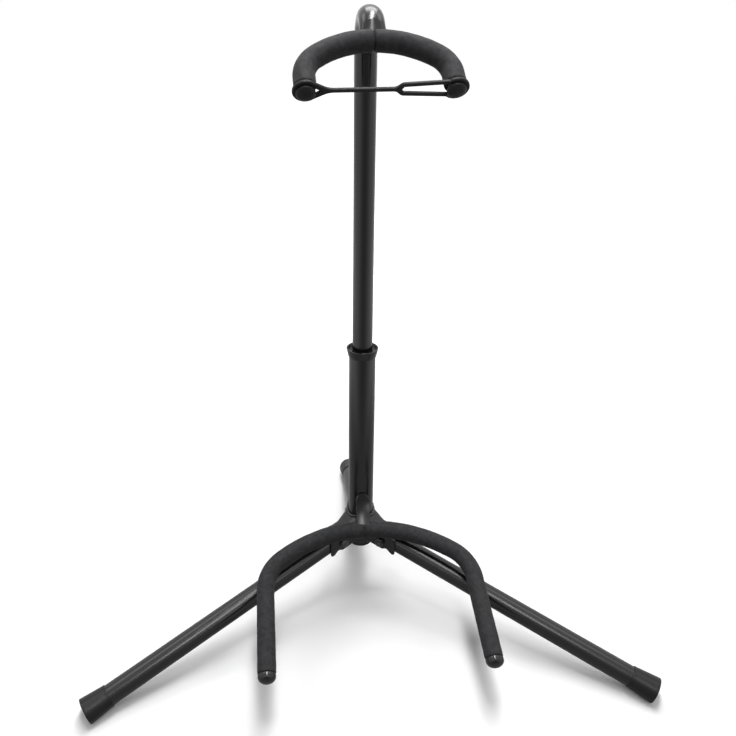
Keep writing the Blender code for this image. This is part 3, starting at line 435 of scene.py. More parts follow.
@dataclass
class Route:
    """A smooth line that a tube or sleeve follows, measured from its first point."""

    points: list[Vector]
    lift: Vector = field(default_factory=lambda: Vector((0.0, 0.0, 1.0)))

    def __post_init__(self) -> None:
        """Adds up the lengths along the line."""
        self.marks = [0.0]
        for a, b in zip(self.points, self.points[1:]):
            self.marks.append(self.marks[-1] + (b - a).length)

    @property
    def length(self) -> float:
        """The line's whole length."""
        return self.marks[-1]

    def at(self, reach: float) -> tuple[Vector, Vector]:
        """The point at a distance along the line, and the line's direction there.

        Args:
            reach: Distance from the first point; past the ends the line runs straight on.

        Returns:
            The point and the unit direction.
        """
        last = len(self.points) - 1
        i = 0
        while i < last - 1 and self.marks[i + 1] < reach:
            i += 1
        span = self.marks[i + 1] - self.marks[i]
        share = (reach - self.marks[i]) / span
        spot = self.points[i].lerp(self.points[i + 1], share)
        here = (self.points[i + 1] - self.points[i]).normalized()
        if share > 0.5 and i + 2 <= last:
            near = (self.points[i + 2] - self.points[i + 1]).normalized()
            way = here.lerp(near, share - 0.5)
        elif share < 0.5 and i > 0:
            near = (self.points[i] - self.points[i - 1]).normalized()
            way = here.lerp(near, 0.5 - share)
        else:
            way = here
        return spot, way.normalized()


def ring_at(shape: Shape, route: Route, reach: float, radius: float, around: int) -> Ring:
    """Adds a ring of points round a route, or one point where the radius is nothing.

    Args:
        shape: The mesh to add to.
        route: The line that the ring stands on.
        reach: Distance along the line.
        radius: The ring's radius.
        around: Points of the ring.

    Returns:
        The new vertices.
    """
    spot, way = route.at(reach)
    if radius < POLE_RADIUS:
        return [shape.verts.new(spot)]
    side = route.lift.cross(way).normalized()
    lift = way.cross(side).normalized()
    ring = []
    for k in range(around):
        a = math.tau * k / around
        ring.append(shape.verts.new(spot + (side * math.cos(a) + lift * math.sin(a)) * radius))
    return ring


def bridge(shape: Shape, first: Ring, second: Ring) -> None:
    """Joins two rings, or a ring and a pole, with faces."""
    count = max(len(first), len(second))
    for k in range(count):
        j = (k + 1) % count
        if len(first) == 1:
            shape.faces.new((first[0], second[j], second[k]))
        elif len(second) == 1:
            shape.faces.new((first[k], first[j], second[0]))
        else:
            shape.faces.new((first[k], first[j], second[j], second[k]))


def loft(shape: Shape, rings: Sequence[Ring]) -> None:
    """Joins each ring to the next."""
    for first, second in zip(rings, rings[1:]):
        bridge(shape, first, second)


def turned_along(route: Route, profile: Sequence[Point], closed: bool = False,
                 around: int = AROUND) -> Shape:
    """Wraps a profile round a route.

    Args:
        route: The line that the shape follows; a straight one makes a plain turned shape.
        profile: Radius and distance along the route of each ring.
        closed: True if the last ring joins the first, as on a tube.
        around: Points of each ring.

    Returns:
        The closed mesh.
    """
    shape = bmesh.new()
    rings = [ring_at(shape, route, reach, radius, around) for radius, reach in profile]
    loft(shape, rings)
    if closed:
        bridge(shape, rings[-1], rings[0])
    bmesh.ops.recalc_face_normals(shape, faces=shape.faces)
    return shape


def straight(direction: Iterable[float] = (0.0, 0.0, 1.0), lift: Iterable[float] = (0.0, 1.0, 0.0)) -> Route:
    """A straight route from the origin."""
    return Route([Vector((0.0, 0.0, 0.0)), Vector(tuple(direction))], Vector(tuple(lift)))


def prism(outline: Sequence[Point], axis: str, low: float, high: float) -> Shape:
    """Extrudes a flat outline along X or Y.

    Args:
        outline: Corners as (Y, Z) for axis X and (X, Z) for axis Y.
        axis: The way of the extrusion.
        low: Where it starts.
        high: Where it ends.

    Returns:
        The closed mesh.
    """
    shape = bmesh.new()
    rings = []
    for along in (low, high):
        rings.append([shape.verts.new((along, a, b) if axis == "X" else (a, along, b)) for a, b in outline])
    shape.faces.new(rings[0])
    shape.faces.new(list(reversed(rings[1])))
    for k in range(len(outline)):
        j = (k + 1) % len(outline)
        shape.faces.new((rings[0][j], rings[0][k], rings[1][k], rings[1][j]))
    bmesh.ops.recalc_face_normals(shape, faces=shape.faces)
    return shape


def put(name: str, data: Any) -> Piece:
    """A new object of the scene, at the origin."""
    made = bpy.data.objects.new(name, data)
    bpy.context.scene.collection.objects.link(made)
    return made


def as_object(name: str, shape: Shape, place: Matrix) -> Piece:
    """Turns a mesh being built into an object whose place is in its vertices.

    Args:
        name: The object's name.
        shape: The mesh; it is freed.
        place: Where it goes, in the row frame.

    Returns:
        The object, at the origin.
    """
    shape.transform(place)
    mesh = bpy.data.meshes.new(name)
    shape.to_mesh(mesh)
    shape.free()
    return put(name, mesh)


def evaluated(thing: Piece) -> bpy.types.Mesh:
    """A new mesh of what an object shows, with its modifiers or curve settings applied."""
    bpy.context.view_layer.update()
    graph = bpy.context.evaluated_depsgraph_get()
    return bpy.data.meshes.new_from_object(thing.evaluated_get(graph), depsgraph=graph)


def baked(thing: Piece) -> Piece:
    """Applies an object's modifiers to its mesh and removes them."""
    mesh = evaluated(thing)
    thing.modifiers.clear()
    old = thing.data
    thing.data = mesh
    bpy.data.meshes.remove(old)
    return thing


def carved(thing: Piece, *cutters: Piece) -> Piece:
    """Cuts an object with others, which are then removed.

    Args:
        thing: The object to cut.
        cutters: The objects that cut it.

    Returns:
        The cut object.
    """
    for cutter in cutters:
        step = thing.modifiers.new(cutter.name, "BOOLEAN")
        step.operation = "DIFFERENCE"
        step.solver = "EXACT"
        step.object = cutter
    baked(thing)
    for cutter in cutters:
        bpy.data.objects.remove(cutter, do_unlink=True)
    return thing


def softened(thing: Piece, width: float, segments: int) -> Piece:
    """Rounds an object's sharp edges and shades it smooth.

    Args:
        thing: The object.
        width: Width of the rounding.
        segments: Segments of the rounding.

    Returns:
        The same object.
    """
    step = thing.modifiers.new("rounding", "BEVEL")
    step.width = width
    step.segments = segments
    step.limit_method = "ANGLE"
    step.angle_limit = math.radians(SOFT_ANGLE)
    return shade(baked(thing))


def shade(thing: Piece, angle: float = SMOOTH_ANGLE) -> Piece:
    """Shades an object smooth, with its real edges kept sharp."""
    thing.data.shade_smooth()
    thing.data.set_sharp_from_angle(angle=math.radians(angle))
    return thing


def merged_copy(node: str, name: str) -> Piece:
    """A copy of a CAD node with its loose triangles merged and its flat faces joined.

    Args:
        node: The CAD node.
        name: The new piece's name.

    Returns:
        The copy, at the origin.
    """
    shape = bmesh.new()
    shape.from_mesh(frame["nodes"][node].data)
    bmesh.ops.remove_doubles(shape, verts=shape.verts, dist=MERGE_DISTANCE)
    bmesh.ops.dissolve_limit(shape, angle_limit=math.radians(FLAT_ANGLE), verts=shape.verts, edges=shape.edges)
    bmesh.ops.recalc_face_normals(shape, faces=shape.faces)
    return as_object(name, shape, Matrix.Identity(4))


class Workshop:
    """Dresses finished pieces: material, body and the nodes that they stand for."""

    def __init__(self, wardrobe: Wardrobe) -> None:
        """Keeps the materials.

        Args:
            wardrobe: The materials.
        """
        self.wardrobe = wardrobe
        self.used: set[str] = set()

    def hand_over(self, piece: Piece, finish: Finish, body: str, *nodes: str) -> Piece:
        """Gives a piece its finish and its body.

        Args:
            piece: The finished piece.
            finish: Its finish.
            body: The CAD body that it rides on.
            nodes: CAD nodes that it replaces.

        Returns:
            The same piece.
        """
        piece.data.materials.clear()
        piece.data.materials.append(self.wardrobe.material(finish))
        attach(piece, body)
        if nodes:
            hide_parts(*nodes)
            self.used.update(nodes)
        LOG.info("%s: %d faces, on %s", piece.name, len(piece.data.polygons), body)
        return piece

    def dress_copy(self, node: str, name: str, finish: Finish, body: str, width: float = 0.0,
                   segments: int = 2) -> None:
        """Dresses a smooth copy of a CAD node, which it replaces.

        Args:
            node: The CAD node.
            name: The new piece's name.
            finish: Its finish.
            body: The CAD body that it rides on.
            width: Width of its edges' rounding; none where it is nothing.
            segments: Segments of the rounding.
        """
        copy = merged_copy(node, name)
        self.hand_over(softened(copy, width, segments) if width else shade(copy), finish, body, node)

    def keep_node(self, node: str, finish: Finish) -> None:
        """Gives a CAD node that stays its finish."""
        thing = frame["nodes"][node]
        thing.data.materials.clear()
        thing.data.materials.append(self.wardrobe.material(finish))
        self.used.add(node)


# Geometry node trees


class NodeMaker:
    """Builds the geometry node trees for what repeats or follows a path."""

    def __init__(self) -> None:
        """Builds the trees."""
        self.bar = self.build_bar()
        self.bead = self.build_bead()
        self.skin = self.build_skin()

    def start(self, name: str, inputs: dict[str, tuple[str, Any]]) -> tuple[Wiring, Any, Any]:
        """Starts a geometry node tree that takes a geometry, the given inputs and a material."""
        sockets = {"Geometry": ("Geometry", None), **inputs, "Material": ("Material", None)}
        return new_group(name, sockets, {"Geometry": "Geometry"}, "GeometryNodeTree")

    def finish(self, wires: Wiring, given: Any, out: Any, geometry: Any) -> Tree:
        """Ends a tree in Realize Instances and Set Material."""
        real = wires.add("GeometryNodeRealizeInstances", {0: geometry})
        dressed = wires.add("GeometryNodeSetMaterial", {"Geometry": real.outputs[0],
                                                        "Material": given.outputs["Material"]})
        wires.join(dressed.outputs[0], out.inputs[0])
        return wires.tree

    def build_bar(self) -> Tree:
        """A round bar along a line of edges."""
        wires, given, out = self.start("round_bar", {"Radius": ("Float", 0.005), "Sides": ("Int", 32)})
        line = wires.add("GeometryNodeMeshToCurve", {0: given.outputs["Geometry"]})
        circle = wires.add("GeometryNodeCurvePrimitiveCircle", {"Resolution": given.outputs["Sides"],
                                                                "Radius": given.outputs["Radius"]})
        bar = wires.add("GeometryNodeCurveToMesh", {"Curve": line.outputs[0], "Profile Curve": circle.outputs[0],
                                                    "Fill Caps": True})
        return self.finish(wires, given, out, bar.outputs[0])

    def build_bead(self) -> Tree:
        """A weld bead: overlapping drops along a line of edges."""
        wires, given, out = self.start("weld_bead", {"Pitch": ("Float", 0.0014), "Size": ("Float", 0.0016),
                                                     "Seed": ("Int", 3)})
        line = wires.add("GeometryNodeMeshToCurve", {0: given.outputs["Geometry"]})
        spaced = wires.add("GeometryNodeResampleCurve", {"Curve": line.outputs[0],
                                                         "Length": given.outputs["Pitch"]}, mode="LENGTH")
        drop = wires.add("GeometryNodeMeshIcoSphere", {"Radius": given.outputs["Size"], "Subdivisions": 2})
        sizes = wires.add("FunctionNodeRandomValue", {"Min": (0.85, 0.85, 0.85), "Max": (1.12, 1.12, 1.12),
                                                      "Seed": given.outputs["Seed"]}, data_type="FLOAT_VECTOR")
        placed = wires.add("GeometryNodeInstanceOnPoints", {"Points": spaced.outputs[0],
                                                            "Instance": drop.outputs[0], "Scale": sizes.outputs[0]})
        return self.finish(wires, given, out, placed.outputs[0])

    def build_skin(self) -> Tree:
        """Gentle lumps that move a surface in and out along its normals."""
        wires, given, out = self.start("foam_skin", {"Amount": ("Float", 0.0002), "Scale": ("Float", 90.0),
                                                     "Seed": ("Float", 0.0)})
        place = wires.add("GeometryNodeInputPosition")
        lumps = wires.add("ShaderNodeTexNoise", {"Vector": place.outputs[0], "W": given.outputs["Seed"],
                                                 "Scale": given.outputs["Scale"], "Detail": 3.0},
                          noise_dimensions="4D")
        height = wires.maths("MULTIPLY", wires.maths("SUBTRACT", lumps.outputs[0], 0.5), given.outputs["Amount"])
        normal = wires.add("GeometryNodeInputNormal")
        shift = wires.add("ShaderNodeVectorMath", {0: normal.outputs[0]}, operation="SCALE")
        wires.join(height, shift.inputs["Scale"])
        moved = wires.add("GeometryNodeSetPosition", {"Geometry": given.outputs["Geometry"],
                                                      "Offset": shift.outputs[0]})
        return self.finish(wires, given, out, moved.outputs[0])

    def run(self, thing: Piece, tree: Tree, values: dict[str, Any]) -> Piece:
        """Runs a tree on an object and keeps the result as a plain mesh.

        Args:
            thing: The object that carries the line or surface.
            tree: The geometry node tree.
            values: The tree's inputs by name.

        Returns:
            The same object with its new mesh.
        """
        step = thing.modifiers.new(tree.name, "NODES")
        step.node_group = tree
        for item in tree.interface.items_tree:
            if item.item_type == "SOCKET" and item.in_out == "INPUT" and item.name in values:
                step[item.identifier] = values[item.name]
        return baked(thing)


def line_object(name: str, points: Sequence[Vector], place: Matrix) -> Piece:
    """A line of edges as an object, for a node tree to follow.

    Args:
        name: The object's name.
        points: The line's points.
        place: Where it goes, in the row frame.

    Returns:
        The object, at the origin.
    """
    mesh = bpy.data.meshes.new(name)
    mesh.from_pydata([place @ p for p in points], [(i, i + 1) for i in range(len(points) - 1)], [])
    return put(name, mesh)


# Where everything stands


def turn(degrees: float, axis: str) -> Matrix:
    """A rotation in degrees about X, Y or Z."""
    return Matrix.Rotation(math.radians(degrees), 4, axis)


@dataclass
class Stance:
    """Frames of the stand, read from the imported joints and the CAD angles."""

    mast_turn: float = 2.4
    cradle_turn: float = 2.4
    leg_slope: float = 15.5
    pivot_reach: float = 0.028

    def __post_init__(self) -> None:
        """Reads where the mast's axis stands and leans."""
        swivel = next(joint for joint in frame["joints"] if joint["name"] == "mast_swivel")
        lean = math.atan2(swivel["axis"][1], swivel["axis"][2])
        self.stand = Matrix.Translation(swivel["pos_m"]) @ Matrix.Rotation(-lean, 4, "X")
        self.mast = self.stand @ turn(self.mast_turn, "Z")
        self.cradle = self.stand @ turn(self.cradle_turn, "Z")

    def arm(self, side: Side) -> Matrix:
        """Frame of a leg's bracket, with X away from the mast."""
        return self.stand @ turn(side.value, "Z")

    def leg(self, side: Side) -> Matrix:
        """Frame of a leg at its pivot, with X down the leg."""
        drop = -self.pivot_reach * math.tan(math.radians(self.leg_slope))
        return self.arm(side) @ Matrix.Translation((self.pivot_reach, 0.0, drop)) @ turn(self.leg_slope, "Y")


# Sub-assemblies


@dataclass
class LowerTube:
    """The lower tube, the plug in its foot and the moulded collar on its top."""

    radius: float = THICK_TUBE
    wall: float = TUBE_WALL
    bottom: float = -0.020
    top: float = TUBE_TOP
    cut_edge: float = 0.0003
    around: int = 96
    flange: float = 0.0022
    plug_depth: float = 0.010
    plug_wall: float = 0.0018
    collar_radius: float = 0.0154
    collar_rise: float = 0.0050
    collar_wall: float = 0.0013
    collar_floor: float = 0.0014
    collar_skirt: float = 0.0036
    collar_skirt_wall: float = 0.0004
    collar_sleeve: float = 0.018
    mast_radius: float = THIN_TUBE

    def build(self, shop: Workshop, stance: Stance) -> None:
        """Makes the tube, its plug and its collar."""
        shop.hand_over(self.tube(stance), SATIN_COAT, "base", "lower_tube")
        shop.hand_over(self.plug(stance), MOULDED_PLASTIC, "base", "lower_tube_plug")
        shop.hand_over(self.collar(stance), MOULDED_PLASTIC, "base", "collar")

    def tube(self, stance: Stance) -> Piece:
        """The tube, with its cut ends eased."""
        inner = self.radius - self.wall
        profile = rounded([(radius, level, self.cut_edge) for radius, level in (
            (self.radius, self.top), (self.radius, self.bottom), (inner, self.bottom), (inner, self.top))],
            closed=True, steps=3)
        shape = turned_along(straight(), profile, closed=True, around=self.around)
        return shade(as_object("lower_tube_coat", shape, stance.stand))

    def plug(self, stance: Stance) -> Piece:
        """The plug under the tube, a low dome with a rounded rim."""
        insert = self.radius - self.wall - GAP
        seat = self.bottom - GAP
        low = seat - self.flange
        profile = rounded([
            (0.0, low + self.plug_wall, 0.0), (insert - self.plug_wall, low + self.plug_wall, 0.0),
            (insert - self.plug_wall, self.bottom + self.plug_depth, 0.0004),
            (insert, self.bottom + self.plug_depth, 0.0004), (insert, seat, 0.0), (self.radius, seat, 0.0003),
            (self.radius, low, 0.0012), (0.004, low, 0.0), (0.0, low, 0.0)])
        return shade(as_object("foot_plug", turned_along(straight(), profile), stance.stand))

    def collar(self, stance: Stance) -> Piece:
        """The collar: a flared cup with a rounded rim and an open groove round the upper tube."""
        rim = self.top + self.collar_rise
        low = self.top - self.collar_skirt
        floor = self.top + self.collar_floor
        wall = self.radius + GAP
        bore = self.mast_radius + GAP
        lining = self.radius - self.wall - GAP
        sleeve = self.top - self.collar_sleeve
        profile = rounded([
            (self.collar_radius - self.collar_wall, rim, 0.0006), (self.collar_radius, rim, 0.0008),
            (wall + self.collar_skirt_wall, low, 0.0003), (wall, low, 0.0),
            (wall, self.top + GAP, 0.0), (lining, self.top + GAP, 0.0),
            (lining, sleeve, 0.0004), (bore, sleeve, 0.0004), (bore, floor, 0.0003),
            (self.radius, floor, 0.0012)], closed=True, steps=7)
        shape = turned_along(straight(), profile, closed=True, around=self.around)
        return shade(as_object("tube_collar", shape, stance.stand))


@dataclass
class Clamp:
    """The screw clamp at the back of the lower tube."""

    drop: float = 0.038
    tube_top: float = TUBE_TOP
    tube_radius: float = THICK_TUBE
    boss_length: float = 0.007
    boss_edge: float = 0.0004
    screw_radius: float = 0.003
    knob_radius: float = 0.0090
    knob_thickness: float = 0.012
    lobes: int = 7
    lobe_depth: float = 0.0009
    lobe_steps: int = 16
    screw_seat: float = 0.009
    dish: float = 0.001

    def build(self, shop: Workshop, stance: Stance) -> None:
        """Makes the boss, the knob and the screw."""
        place = stance.stand @ Matrix.Translation((0.0, 0.0, self.tube_top - self.drop)) @ turn(-90.0, "X")
        shop.dress_copy("clamp_boss", "clamp_boss_coat", SATIN_COAT, "base", self.boss_edge, 3)
        shop.hand_over(self.knob(place), MOULDED_PLASTIC, "clamp", "clamp_knob")
        shop.dress_copy("clamp_screw", "clamp_screw_plate", BLACK_ZINC, "clamp")

    def knob_ring(self, shape: Shape, size: float, height: float, lobed: float = 0.0) -> Ring:
        """Adds one ring of the knob.

        Args:
            shape: The mesh to add to.
            size: The ring's radius where it has no lobes, and otherwise its share of the knob's outline.
            height: Where it stands along the screw.
            lobed: Share of the lobes' depth.

        Returns:
            The new vertices.
        """
        ring = []
        count = self.lobes * self.lobe_steps
        for k in range(count):
            a = math.tau * k / count
            dip = self.lobe_depth * (1 - math.cos(self.lobes * a)) / 2
            radius = (self.knob_radius - dip * lobed) * size if lobed else size
            ring.append(shape.verts.new((radius * math.cos(a), radius * math.sin(a), height)))
        return ring

    def knob(self, place: Matrix) -> Piece:
        """The lobed knob, with a dished face and rounded rims."""
        shape = bmesh.new()
        low = self.tube_radius + self.boss_length + GAP
        high = low + self.knob_thickness
        bore = self.screw_radius + GAP
        levels = [(bore, low, 0.0), (0.92, low, 1.0), (0.975, low + 0.0004, 1.0), (1.0, low + 0.0014, 1.0),
                  (1.0, high - 0.0022, 1.0), (0.975, high - 0.0009, 1.0), (0.92, high - 0.0002, 1.0),
                  (0.84, high, 1.0), (0.70, high - 0.0006, 0.6), (0.45, high - 0.0009, 0.2)]
        rings = [self.knob_ring(shape, *level) for level in levels]
        loft(shape, rings)
        bridge(shape, rings[-1], [shape.verts.new((0.0, 0.0, high - self.dish))])
        floor = low + self.screw_seat + GAP
        inner = self.knob_ring(shape, bore, floor)
        bridge(shape, inner, rings[0])
        bridge(shape, inner, [shape.verts.new((0.0, 0.0, floor))])
        bmesh.ops.recalc_face_normals(shape, faces=shape.faces)
        return shade(as_object("clamp_knob_moulding", shape, place), SOFT_ANGLE)


@dataclass
class MastTube:
    """The upper tube, bent over at the top and pressed flat at its end."""

    radius: float = THIN_TUBE
    wall: float = TUBE_WALL
    bottom: float = -0.0074
    bend_start: float = 0.4723
    bend_radius: float = 0.020
    bend_angle: float = 140.0
    tail: float = 0.0087
    end_width: float = 0.0212
    end_thickness: float = 0.0095
    bead_low: float = 0.0169
    bead_height: float = 0.0013
    bead_length: float = 0.004
    rod_radius: float = ROD
    around: int = 72
    bead_steps: int = 8
    bend_steps: int = 42
    tail_steps: int = 6
    press_start: float = 0.35
    press_at_bend: float = 0.45
    end_sections: int = 16

    def bend_end(self) -> tuple[Vector, Vector]:
        """Where the bend ends, and the way that the tube points there."""
        a = math.radians(self.bend_angle)
        end = Vector((0.0, -self.bend_radius * (1 - math.cos(a)), self.bend_start + self.bend_radius * math.sin(a)))
        return end, Vector((0.0, -math.sin(a), math.cos(a)))

    def rod_centre(self) -> Vector:
        """The middle of the neck rod, just past the flattened end."""
        end, way = self.bend_end()
        return end + way * (self.tail + GAP + self.rod_radius)

    def pressed(self, share: float) -> Point:
        """Half width and half thickness as the tube is pressed flat."""
        wide = self.radius + (self.end_width / 2 - self.radius) * share
        thin = self.radius + (self.end_thickness / 2 - self.radius) * share
        return wide, thin

    def stations(self) -> list[Section]:
        """Centre, side direction and half sizes of each section, bottom to top."""
        ahead = Vector((0.0, -1.0, 0.0))
        radius, bead = self.radius, self.radius + self.bead_height
        found = [(Vector((0.0, 0.0, self.bottom)), ahead, radius, radius)]
        for k in range(self.bead_steps + 1):
            share = k / self.bead_steps
            size = radius + (bead - radius) * math.sin(math.pi * share) ** 0.8
            found.append((Vector((0.0, 0.0, self.bead_low + self.bead_length * share)), ahead, size, size))
        found.append((Vector((0.0, 0.0, self.bend_start * 0.5)), ahead, radius, radius))
        for k in range(self.bend_steps + 1):
            a = math.radians(self.bend_angle) * k / self.bend_steps
            middle = Vector((0.0, -self.bend_radius * (1 - math.cos(a)),
                             self.bend_start + self.bend_radius * math.sin(a)))
            share = min(1.0, max(0.0, (k / self.bend_steps - self.press_start) / (1 - self.press_start)))
            squeeze = share * share * (3 - 2 * share) * self.press_at_bend
            found.append((middle, Vector((0.0, -math.cos(a), -math.sin(a))), *self.pressed(squeeze)))
        end, way = self.bend_end()
        side = found[-1][1]
        for k in range(1, self.tail_steps + 1):
            share = k / self.tail_steps
            squeeze = self.press_at_bend + (1 - self.press_at_bend) * share
            found.append((end + way * self.tail * share, side, *self.pressed(squeeze)))
        return found

    def ring(self, shape: Shape, station: Section, growth: float) -> Ring:
        """Adds one oval ring, larger or smaller than the tube's skin by the growth."""
        middle, side, wide, thin = station
        ring = []
        for k in range(self.around):
            a = math.tau * k / self.around
            across = Vector(((wide + growth) * math.cos(a), 0.0, 0.0))
            ring.append(shape.verts.new(middle + across + side * ((thin + growth) * math.sin(a))))
        return ring

    def tube(self, stance: Stance) -> Piece:
        """The whole tube, with its wall."""
        shape = bmesh.new()
        stations = self.stations()
        outer = [self.ring(shape, station, 0.0) for station in stations]
        inner = [self.ring(shape, station, -self.wall) for station in stations]
        loft(shape, outer)
        for first, second in zip(inner, inner[1:]):
            bridge(shape, second, first)
        bridge(shape, inner[0], outer[0])
        bridge(shape, outer[-1], inner[-1])
        bmesh.ops.recalc_face_normals(shape, faces=shape.faces)
        return shade(as_object("mast_tube_coat", shape, stance.mast))

    def end_space(self, stance: Stance) -> Piece:
        """The space that the flattened end takes in the neck foam."""
        shape = bmesh.new()
        stations = self.stations()[-self.end_sections:]
        middle, side, wide, thin = stations[-1]
        way = self.bend_end()[1]
        stations.append((middle + way * (GAP + self.rod_radius), side, wide, thin))
        rings = [self.ring(shape, station, FIT) for station in stations]
        loft(shape, rings)
        shape.faces.new(rings[0])
        shape.faces.new(list(reversed(rings[-1])))
        bmesh.ops.recalc_face_normals(shape, faces=shape.faces)
        return as_object("mast_end_space", shape, stance.mast)

    def build(self, shop: Workshop, stance: Stance) -> None:
        """Makes the tube and finishes its hidden fittings."""
        shop.hand_over(self.tube(stance), SATIN_COAT, "mast", "upper_tube")
        shop.keep_node("mast_guide", MOULDED_PLASTIC)
        shop.keep_node("mast_plug", MOULDED_PLASTIC)


@dataclass
class Yoke:
    """A bent rod in two foam sleeves: a back arc, a tighter corner each side and straight arms."""

    name: str
    half_width: float
    corner_radius: float
    back_angle: float
    foam_reach: float
    rod_reach: float
    rod_radius: float = ROD
    foam_radius: float = 0.0084
    seam: float = 0.00015
    seam_edge: float = 0.0013
    edge: float = 0.0013
    step: float = 0.0016
    around: int = 56
    rod_sides: int = 40
    back_steps: int = 32
    arm_steps: int = 24
    lumps: float = 0.0006
    lump_scale: float = 120.0
    lump_seed: float = 7.0

    def half_line(self, reach: float) -> list[Vector]:
        """Points of the right half, from the middle to a tip.

        Args:
            reach: How far forward the arm runs.

        Returns:
            The points, close together in the bends.
        """
        back = math.radians(self.back_angle)
        wide = (self.half_width - self.corner_radius * (1 - math.sin(back))) / math.sin(back)
        points = []
        for k in range(self.back_steps + 1):
            a = back * k / self.back_steps
            points.append(Vector((wide * math.sin(a), -wide * (1 - math.cos(a)), 0.0)))
        centre = points[-1] - self.corner_radius * Vector((math.sin(back), math.cos(back), 0.0))
        for k in range(1, self.back_steps + 1):
            a = back + (math.pi / 2 - back) * k / self.back_steps
            points.append(centre + self.corner_radius * Vector((math.sin(a), math.cos(a), 0.0)))
        start = points[-1].y
        for k in range(1, self.arm_steps + 1):
            points.append(Vector((self.half_width, start + (-reach - start) * k / self.arm_steps, 0.0)))
        return points

    def rod(self, maker: NodeMaker, place: Matrix, material: bpy.types.Material) -> Piece:
        """The bent rod, swept by the node tree."""
        half = self.half_line(self.rod_reach)
        whole = [Vector((-p.x, p.y, p.z)) for p in reversed(half[1:])] + half
        line = line_object(f"{self.name}_rod_coat", whole, place)
        values = {"Radius": self.rod_radius, "Sides": self.rod_sides, "Material": material}
        return shade(maker.run(line, maker.bar, values))

    def sleeve_profile(self, length: float) -> list[Point]:
        """Radius and distance of each ring of a sleeve, out along the skin and back along the bore."""
        radius, bore, edge = self.foam_radius, self.rod_radius + GAP, self.edge
        start = self.seam + self.seam_edge
        skin = [(bore, self.seam)]
        skin += [(radius - self.seam_edge * (1 - math.sin(a)), start - self.seam_edge * math.cos(a))
                 for a in (math.radians(22.5 * k) for k in range(5))]
        count = max(8, round(length / self.step))
        for k in range(1, count):
            skin.append((radius, start + (length - start - edge) * k / count))
        skin += [(radius, length - edge), (radius - edge * 0.10, length - edge * 0.55),
                 (radius - edge * 0.34, length - edge * 0.2), (radius - edge * 0.8, length - edge * 0.03),
                 (radius - edge * 1.2, length), (bore, length)]
        steps = self.arm_steps
        return skin + [(bore, self.seam + (length - self.seam) * (1 - k / steps)) for k in range(1, steps)]

    def tip(self, side: str, place: Matrix) -> Matrix:
        """The frame of a tip in the yoke's plane, with Z along the arm."""
        sign = -1 if side == "left" else 1
        return place @ Matrix.Translation((sign * self.half_width, 0.0, 0.0)) @ turn(90.0, "X")

    def sleeve(self, side: str, place: Matrix, room: Piece) -> Piece:
        """One foam sleeve.

        Args:
            side: Left or right.
            place: The yoke's plane.
            room: The shape that the sleeve leaves room for.

        Returns:
            The sleeve.
        """
        line = self.half_line(self.foam_reach)
        if side == "left":
            line = [Vector((-p.x, p.y, p.z)) for p in line]
        route = Route(line)
        shape = turned_along(route, self.sleeve_profile(route.length), closed=True, around=self.around)
        return carved(as_object(f"{self.name}_sleeve_{side}", shape, place), room)

    def build(self, shop: Workshop, maker: NodeMaker, place: Matrix, body: str, room: Callable[[], Piece],
              cap: Callable[[str, Matrix], Piece], cap_finish: Finish) -> None:
        """Makes the rod, and a sleeve and a cap on each side.

        Args:
            shop: Dresses the pieces.
            maker: The geometry node trees.
            place: The yoke's plane.
            body: The CAD body that the yoke rides on.
            room: Makes the shape that a sleeve leaves room for.
            cap: Makes a side's cap.
            cap_finish: The caps' finish.
        """
        coat = shop.wardrobe.material(SATIN_COAT)
        foam = shop.wardrobe.material(SLEEVE_FOAM)
        shop.hand_over(self.rod(maker, place, coat), SATIN_COAT, body, f"{self.name}_rod")
        for side in SIDES:
            sleeve = self.sleeve(side, place, room())
            maker.run(sleeve, maker.skin, {"Amount": self.lumps, "Scale": self.lump_scale, "Seed": self.lump_seed,
                                           "Material": foam})
            shop.hand_over(shade(sleeve, SOFT_ANGLE), SLEEVE_FOAM, body, f"{self.name}_foam_{side}")
            shop.hand_over(cap(side, place), cap_finish, body, f"{self.name}_cap_{side}")


def dome_points(radius: float, rim: float, rise: float) -> list[Point]:
    """Profile of a domed end, from its crown down to its rim.

    Args:
        radius: The rim's radius.
        rim: Where the rim stands along the axis.
        rise: The crown's height over the rim.

    Returns:
        Radius and height of each ring.
    """
    angles = [math.radians(5 * k) for k in range(1, 19)]
    return [(0.0, rim + rise)] + [(radius * math.sin(a), rim + rise * math.cos(a)) for a in angles]


